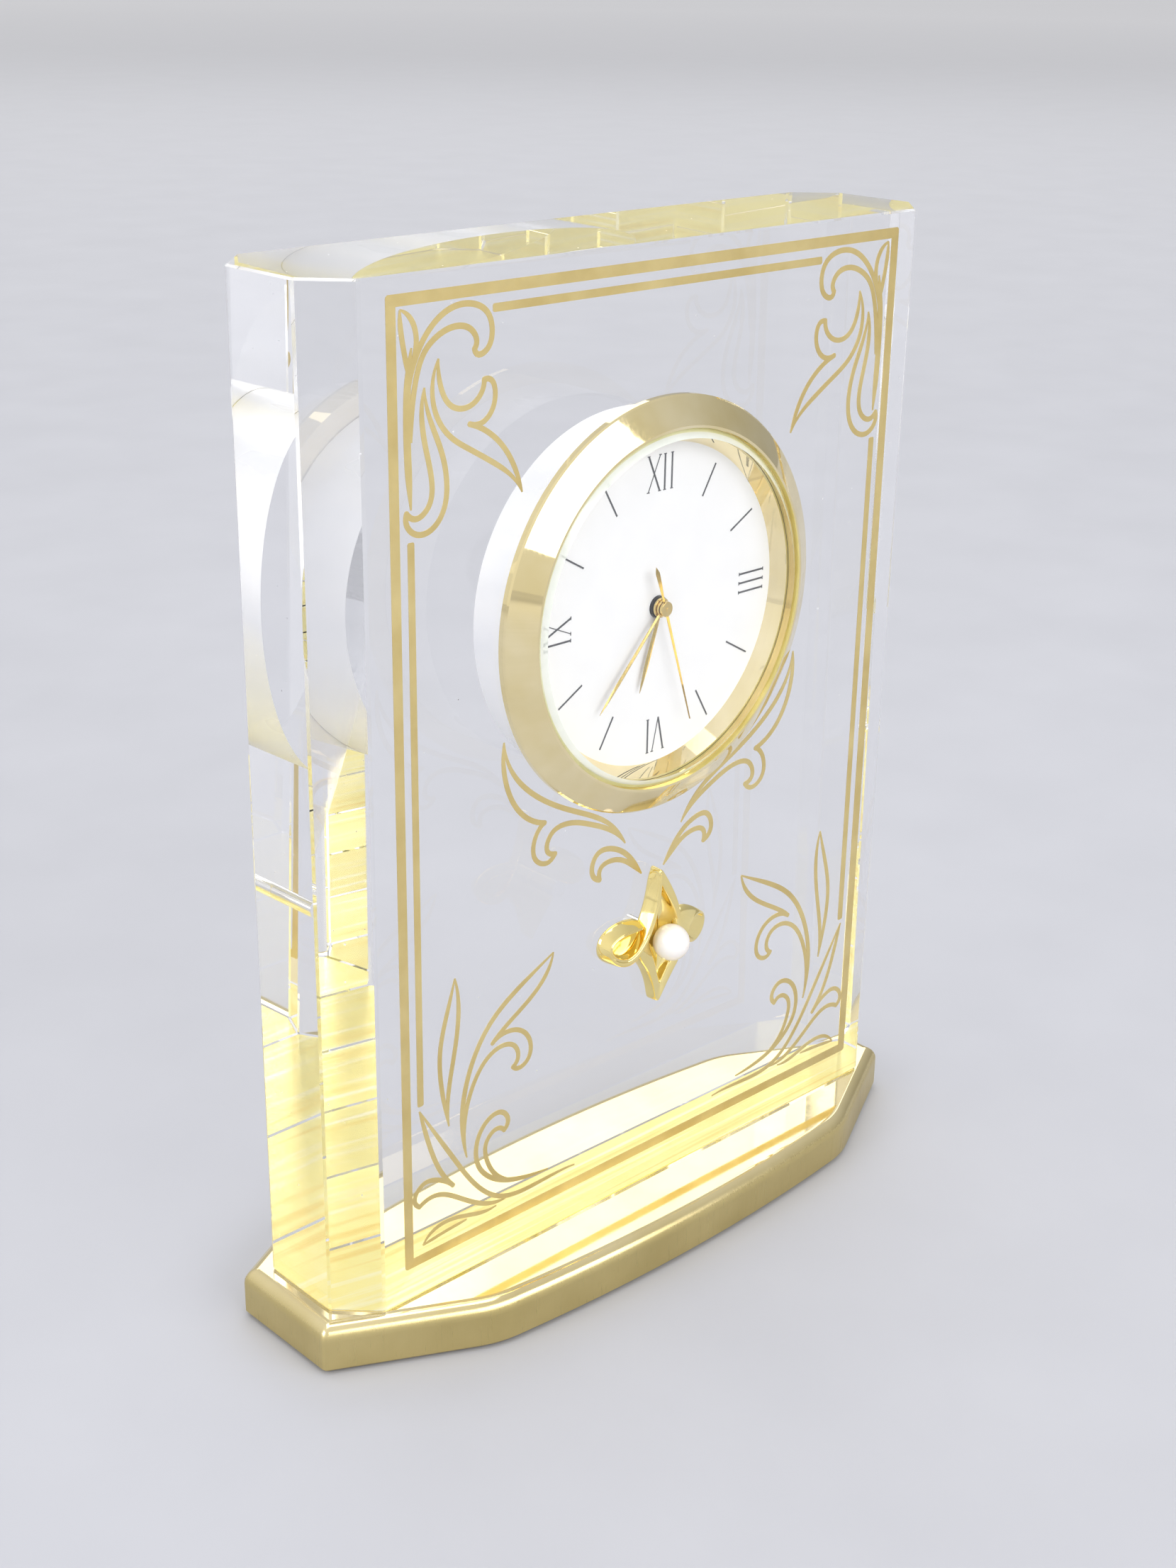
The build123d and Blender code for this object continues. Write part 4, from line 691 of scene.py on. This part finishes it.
def add_hands():
    """Two leaf-shaped hands, and a needle with a pointed tail."""
    add_hand("hour_blade", "hour_hand", "hours_train", [
        [(0.08, 0.24), (0.2, 0.28), (0.6, 0.34), (0.72, 0.32), (0.9, 0.18), (1.0, 0.02)],
    ])
    add_hand("minute_blade", "minute_hand", "minutes_train", [
        [(0.05, 0.22), (0.5, 0.26), (0.7, 0.27), (0.9, 0.2), (1.0, 0.02)],
    ])
    add_hand("second_needle", "second_hand", "seconds_train", [
        [(0.04, 0.15), (0.5, 0.11), (1.0, 0.06)],
        [(-0.03, 0.1), (-0.12, 0.12), (-0.22, 0.18), (-0.305, 0.27), (-0.325, 0.22),
         (-0.36, 0.02)],
    ])


# ---------------------------------------------------------------- ornament

# where the pearl sits from the ornament's centre
PEARL_PLACE = (0.8, -0.5)
PEARL_LOW, PEARL_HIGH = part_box("pearl")
ORNAMENT_X = (PEARL_LOW.x + PEARL_HIGH.x) / 2 - PEARL_PLACE[0] * MM
ORNAMENT_Z = (PEARL_LOW.z + PEARL_HIGH.z) / 2 - PEARL_PLACE[1] * MM


def on_ornament(x, rise, height):
    """From the ornament's centre in mm, with height in front of the block's face."""
    return (ORNAMENT_X + x * MM, BLOCK_LOW.y - height * MM, ORNAMENT_Z + rise * MM)


# heights of the casting's back and of the leaf's rim
BACK = 0.42
FRONT = 2.15

# the leaf's rim and the rim of its hollow, one point of the second for each of the first
LEAF_RIM = [
    ((-0.75, 9.1), (-0.1, 6.8)), ((-0.35, 9.35), (0.0, 7.0)), ((0.0, 9.0), (0.1, 6.8)),
    ((0.8, 7.8), (0.55, 6.0)), ((1.8, 6.1), (1.3, 4.7)), ((2.7, 4.2), (2.05, 3.3)),
    ((3.3, 2.2), (2.65, 1.6)), ((3.65, 0.3), (2.95, 0.0)), ((3.75, -1.6), (2.9, -1.5)),
    ((3.3, -3.6), (2.3, -2.9)), ((2.3, -5.0), (1.4, -4.1)), ((1.0, -6.7), (0.6, -5.3)),
    ((-0.05, -8.2), (0.25, -5.9)), ((-0.45, -8.55), (0.15, -6.0)), ((-0.85, -8.2), (0.0, -5.8)),
    ((-1.15, -6.9), (-0.3, -5.0)), ((-1.55, -5.5), (-0.55, -4.1)), ((-2.3, -3.8), (-0.85, -3.0)),
    ((-3.3, -2.3), (-1.35, -1.9)), ((-3.9, -0.9), (-1.8, -0.8)), ((-3.5, 0.4), (-1.9, 0.5)),
    ((-2.5, 1.9), (-1.6, 1.9)), ((-1.7, 3.5), (-1.1, 3.4)), ((-1.15, 5.3), (-0.6, 4.9)),
    ((-0.85, 7.3), (-0.25, 6.1)),
]


def leaf_spine(rise):
    """The deepest line of the leaf's hollow, bowed to the right, at a given rise."""
    share = min(max((rise + 5.2) / 11.4, 0), 1)
    return (0.35 + 0.45 * math.sin(math.pi * share), min(max(rise, -4.6), 5.4))


def sculpt_leaf(sculpt):
    """A leaf with two points, hollow in front, with thin walls."""
    pairs = smooth_path([rim + hollow for rim, hollow in LEAF_RIM], 3, closed=True)
    stations = []
    for rim_x, rim_z, hollow_x, hollow_z in pairs:
        rim = (rim_x, rim_z)
        hollow = (hollow_x, hollow_z)
        spine = leaf_spine(hollow_z)
        wide = math.hypot(rim_x - hollow_x, rim_z - hollow_z)
        dip = 0.14 if rim_x < 0 and rim_z < 0 else 0.03
        back = blend(spine, rim, 1.03)
        stations.append([
            blend(spine, rim, 0.9) + (BACK - 0.02,),
            back + (BACK,),
            back + (BACK + 0.1,),
            blend(spine, rim, 1.02) + (1.3,),
            rim + (FRONT - 0.12,),
            blend(rim, hollow, 0.1 / wide) + (FRONT,),
            blend(rim, hollow, 0.25 / wide) + (FRONT - 0.02,),
            blend(rim, hollow, 0.55) + (FRONT - dip,),
            blend(rim, hollow, 0.9) + (FRONT - 0.1 - dip,),
            hollow + (FRONT - 0.25 - dip,),
            blend(hollow, spine, 0.08) + (FRONT - 0.6,),
            blend(hollow, spine, 0.3) + (1.05,),
            blend(hollow, spine, 0.7) + (0.8,),
            blend(hollow, spine, 0.97) + (0.74,),
        ])
    sculpt.rings([list(ring) for ring in zip(*stations)])


# the ribbon's middle line on the leaf's left edge and round the left loop, with its width,
# the height of its front, and how far its back spreads on the leaf's side and on the loop's
RIBBON = [
    (-0.5, 9.05, 0.45, 2.1, 0.1, 0), (-0.6, 7.9, 0.58, 2.3, 0.35, 0),
    (-0.78, 6.4, 0.62, 2.36, 0.45, 0), (-1.15, 4.7, 0.66, 2.42, 0.5, 0),
    (-1.75, 3.1, 0.72, 2.48, 0.5, 0), (-2.55, 1.6, 0.8, 2.54, 0.4, 0),
    (-3.45, 0.35, 0.9, 2.58, 0.2, 0), (-4.5, -0.65, 1.05, 2.6, 0, 0.05),
    (-5.8, -1.2, 1.15, 2.54, 0, 0.1), (-7.2, -0.95, 1.05, 2.44, 0, 0.2),
    (-8.3, -0.15, 0.85, 2.32, 0, 0.4), (-8.8, 0.8, 0.66, 2.2, 0, 0.65),
    (-8.45, 1.75, 0.58, 2.08, 0, 0.85), (-7.35, 2.25, 0.56, 1.98, 0, 0.95),
    (-6.05, 2.45, 0.56, 1.95, 0, 0.95), (-4.9, 2.4, 0.56, 1.95, 0, 0.9),
    (-3.9, 2.35, 0.5, 1.95, 0, 0.8), (-3.0, 2.3, 0.4, 1.9, 0, 0.5),
]


def band_profile(width, front, leaf_flare, loop_flare):
    """A band on edge: (across, height), with a fine groove along its outer front edge."""
    half = width / 2
    lip = min(0.2, width / 4)
    middle = (BACK + front) / 2
    foot = BACK + 0.08
    return [
        (-half - leaf_flare, BACK), (-half - leaf_flare, foot), (-half - leaf_flare * 0.5, middle),
        (-half, front - 0.16), (-half + lip * 0.35, front - 0.03), (-half + lip, front - 0.01),
        (-half + lip * 1.5, front - 0.15), (-half + lip * 2.0, front),
        (half * 0.35, front + 0.04), (half - 0.1, front - 0.05), (half, front - 0.2),
        (half + loop_flare * 0.6, middle), (half + loop_flare, foot), (half + loop_flare, BACK),
    ]


def sculpt_band(sculpt, stations):
    """A band that follows its stations, which are listed as in RIBBON."""
    line = smooth_path(stations, 4)
    rings = []
    count = len(line)
    for index, (x, rise, width, front, leaf_flare, loop_flare) in enumerate(line):
        before = line[max(index - 1, 0)]
        after = line[min(index + 1, count - 1)]
        run = (after[0] - before[0], after[1] - before[1])
        length = math.hypot(*run)
        across = (-run[1] / length, run[0] / length)
        rings.append([(x + across[0] * n, rise + across[1] * n, h)
                      for n, h in band_profile(width, front, leaf_flare, loop_flare)])
    sculpt.rings(rings)


# the outline of the left loop's hollow
LEFT_HOLLOW = [(-3.6, 0.9), (-4.9, -0.4), (-6.0, -0.8), (-7.3, -0.6), (-8.2, 0.2), (-8.5, 1.0),
               (-7.6, 1.95), (-6.2, 2.2), (-4.9, 2.2), (-3.5, 2.1)]


def sculpt_bowl(sculpt, outline):
    """A shallow bowl in an outline, from its back over its rim to its floor."""
    ring = smooth_path(outline, 4, closed=True)
    middle = tuple(sum(axis) / len(ring) for axis in zip(*ring))
    levels = ((1.05, BACK), (1.05, 1.2), (0.9, 1.08), (0.7, 0.96), (0.4, 0.88), (0.12, 0.86))
    sculpt.rings([[blend(middle, point, share) + (height,) for point in ring]
                  for share, height in levels])


# the right loop is a rolled band, open to the front and right. Each ring across it has a middle,
# a half height and a half depth. Towards the block a ring moves right by back_lean and down by
# drop, and its top leans right by top_lean.
ROLL = [
    ((2.3, 0.9, 1.3), 2.3, 0.75, 0.0, 0.0, 0.0), ((3.5, 0.9, 1.3), 2.45, 0.8, 0.1, 0.6, 0.4),
    ((4.8, 0.4, 1.3), 2.3, 0.84, 0.25, 1.25, 0.8), ((5.9, -0.25, 1.3), 2.1, 0.86, 0.4, 1.85, 1.15),
    ((6.83, -0.9, 1.3), 1.89, 0.86, 0.52, 2.45, 1.5),
]
ROLL_SIDES = 28


def roll_ring(middle, high, deep, top_lean, back_lean, drop, shrink=1.0):
    """An oval ring across the roll."""
    ring = []
    for k in range(ROLL_SIDES):
        angle = 2 * math.pi * k / ROLL_SIDES
        rise = high * shrink * math.sin(angle)
        toward = deep * shrink * math.cos(angle)
        ring.append((middle[0] + rise * top_lean - toward * back_lean,
                     middle[1] + rise + toward * drop, middle[2] + toward))
    return ring


def sculpt_roll(sculpt):
    """The roll's outside, its rounded lip, and its inside back to the second ring."""
    rings = [roll_ring(*entry) for entry in ROLL]
    mouth, *shape = ROLL[-1]
    lip = (mouth[0] + 0.05, mouth[1], mouth[2] + 0.12)
    rings.append(roll_ring(lip, *shape, 0.96))
    rings.append(roll_ring(lip, *shape, 0.86))
    rings.append(roll_ring(mouth, *shape, 0.8))
    for entry in reversed(ROLL[1:4]):
        rings.append(roll_ring(*entry, 0.72))
    sculpt.rings(rings)


def add_ornament():
    """The whole casting as one piece."""
    sculpt = Sculpt()
    sculpt_leaf(sculpt)
    sculpt_band(sculpt, RIBBON)
    sculpt_bowl(sculpt, LEFT_HOLLOW)
    sculpt_roll(sculpt)
    item = sculpt.piece("ornament_cast", on_ornament, 1)
    add_piece(item, "block_and_base", "gilt_polished", "ornament_casting")
    item.data.materials[0] = CAST_GILT


def add_bond():
    """The adhesive wets block and gilt, so the piece reaches a little into the block's foot, and
    the gilt shows through without an air gap."""
    sink = 0.05 * MM
    cut = 4.6 * MM
    low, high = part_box("bond_sheet")
    top = BLOCK_LOW.z + sink
    quarter = [(high.x, high.y - cut), (high.x - cut, high.y)]
    half = quarter + [(-x, y) for x, y in reversed(quarter)]
    outline = half + [(x, -y) for x, y in reversed(half)]
    sculpt = Sculpt()
    sculpt.rings([[(x, y, level) for x, y in outline] for level in (low.z, top)])
    item = sculpt.piece("bond_layer", lambda x, y, z: (x, y, z))
    for face in item.data.polygons:
        face.use_smooth = False
    add_piece(item, "block_and_base", "bond", "bond_sheet")


# ---------------------------------------------------------------- stage

def floor_material():
    """A plain floor, paler from half a metre outwards, where the lamps no longer reach."""
    make = Shader("studio_floor")
    grain = make.noise(30.0, 3.0)
    away = make.node("ShaderNodeVectorMath", operation="LENGTH")
    make.link(make.coords(), away.inputs[0])
    near = make.mix(make.spread(grain, 0, 1), rgb(184, 185, 192), rgb(188, 189, 196))
    far = make.spread(away.outputs["Value"], 0, 1, 0.5, 3.5)
    make.principled(Base_Color=make.mix(far, near, rgb(226, 226, 230)), Roughness=0.6)
    return make.material


def add_floor():
    half = 20.0
    mesh = bpy.data.meshes.new("floor")
    corners = [(-half, -half, 0), (half, -half, 0), (half, half, 0), (-half, half, 0)]
    mesh.from_pydata(corners, [], [(0, 1, 2, 3)])
    floor = bpy.data.objects.new("floor", mesh)
    mesh.materials.append(floor_material())
    scene.collection.objects.link(floor)


# the side on which the room is brightest, and how the light's strength follows from the cosine of
# the angle to it
BRIGHT_SIDE = Vector((-0.75, -0.15, 0.65)).normalized()
ROOM_LIGHT = {"From Min": -0.7, "From Max": 0.9, "To Min": 0.4, "To Max": 0.95}


def add_world():
    """A pale room, brightest high on the left and softer low on the right."""
    world = bpy.data.worlds.new("studio")
    scene.world = world
    world.use_nodes = True
    tree = world.node_tree
    tree.nodes.clear()
    place = tree.nodes.new("ShaderNodeTexCoord")
    toward = tree.nodes.new("ShaderNodeVectorMath")
    toward.operation = "DOT_PRODUCT"
    toward.inputs[1].default_value = BRIGHT_SIDE
    tree.links.new(place.outputs["Generated"], toward.inputs[0])
    level = tree.nodes.new("ShaderNodeMapRange")
    for socket, value in ROOM_LIGHT.items():
        level.inputs[socket].default_value = value
    tree.links.new(toward.outputs["Value"], level.inputs["Value"])
    light = tree.nodes.new("ShaderNodeBackground")
    light.inputs["Color"].default_value = (1.0, 1.0, 1.0, 1)
    tree.links.new(level.outputs["Result"], light.inputs["Strength"])
    output = tree.nodes.new("ShaderNodeOutputWorld")
    tree.links.new(light.outputs[0], output.inputs["Surface"])


LAMP_AIM = Vector((0, 0, 0.06))

# each lamp's name, place, width and height in metres, and power in watts
LAMPS = [
    ("front", (0.2, -1.35, 0.75), (1.5, 0.7), 11.0),
    ("left", (-1.4, 0.15, 0.8), (0.8, 0.8), 7.0),
    ("overhead", (0.1, 0.2, 2.0), (1.4, 1.2), 10.0),
    ("back", (1.1, 1.2, 1.1), (1.5, 0.6), 4.0),
]


def add_lamps():
    """Soft rectangular lamps, all aimed at the middle of the clock."""
    for name, place, size, power in LAMPS:
        data = bpy.data.lights.new(name, "AREA")
        data.shape = "RECTANGLE"
        data.size, data.size_y = size
        data.energy = power
        lamp = bpy.data.objects.new(name, data)
        turn = (LAMP_AIM - Vector(place)).to_track_quat("-Z", "Y").to_matrix().to_4x4()
        lamp.matrix_world = Matrix.Translation(place) @ turn
        lamp.visible_camera = False
        scene.collection.objects.link(lamp)


# the photo's camera, solved from the block's corners
CAMERA_PLACE = Vector((-0.1717, -0.1780, 0.1603))
CAMERA_AHEAD = Vector((0.63993, 0.66844, -0.37906)).normalized()
CAMERA_RIGHT = Vector((0.72635, -0.68717, 0.01446)).normalized()
CAMERA_LENS = 49.29


def add_camera():
    data = bpy.data.cameras.new("camera")
    data.sensor_fit = "VERTICAL"
    data.sensor_height = 36.0
    data.lens = CAMERA_LENS
    data.clip_start = 0.01
    camera = bpy.data.objects.new("camera", data)
    up = CAMERA_RIGHT.cross(CAMERA_AHEAD)
    turn = Matrix((CAMERA_RIGHT, up, -CAMERA_AHEAD)).transposed().to_4x4()
    camera.matrix_world = Matrix.Translation(CAMERA_PLACE) @ turn
    scene.collection.objects.link(camera)
    scene.camera = camera


add_camera()
add_floor()
add_world()
add_lamps()
dress_nodes()
add_lens()
add_bore_wall()
add_hubs()
add_hands()
add_ornament()
add_bond()

scene.view_settings.view_transform = "Standard"
# the block mirrors its foot many times over, and each reflection inside it costs a bounce
scene.cycles.max_bounces = 48
scene.cycles.transmission_bounces = 48
scene.cycles.glossy_bounces = 24
scene.cycles.transparent_max_bounces = 24
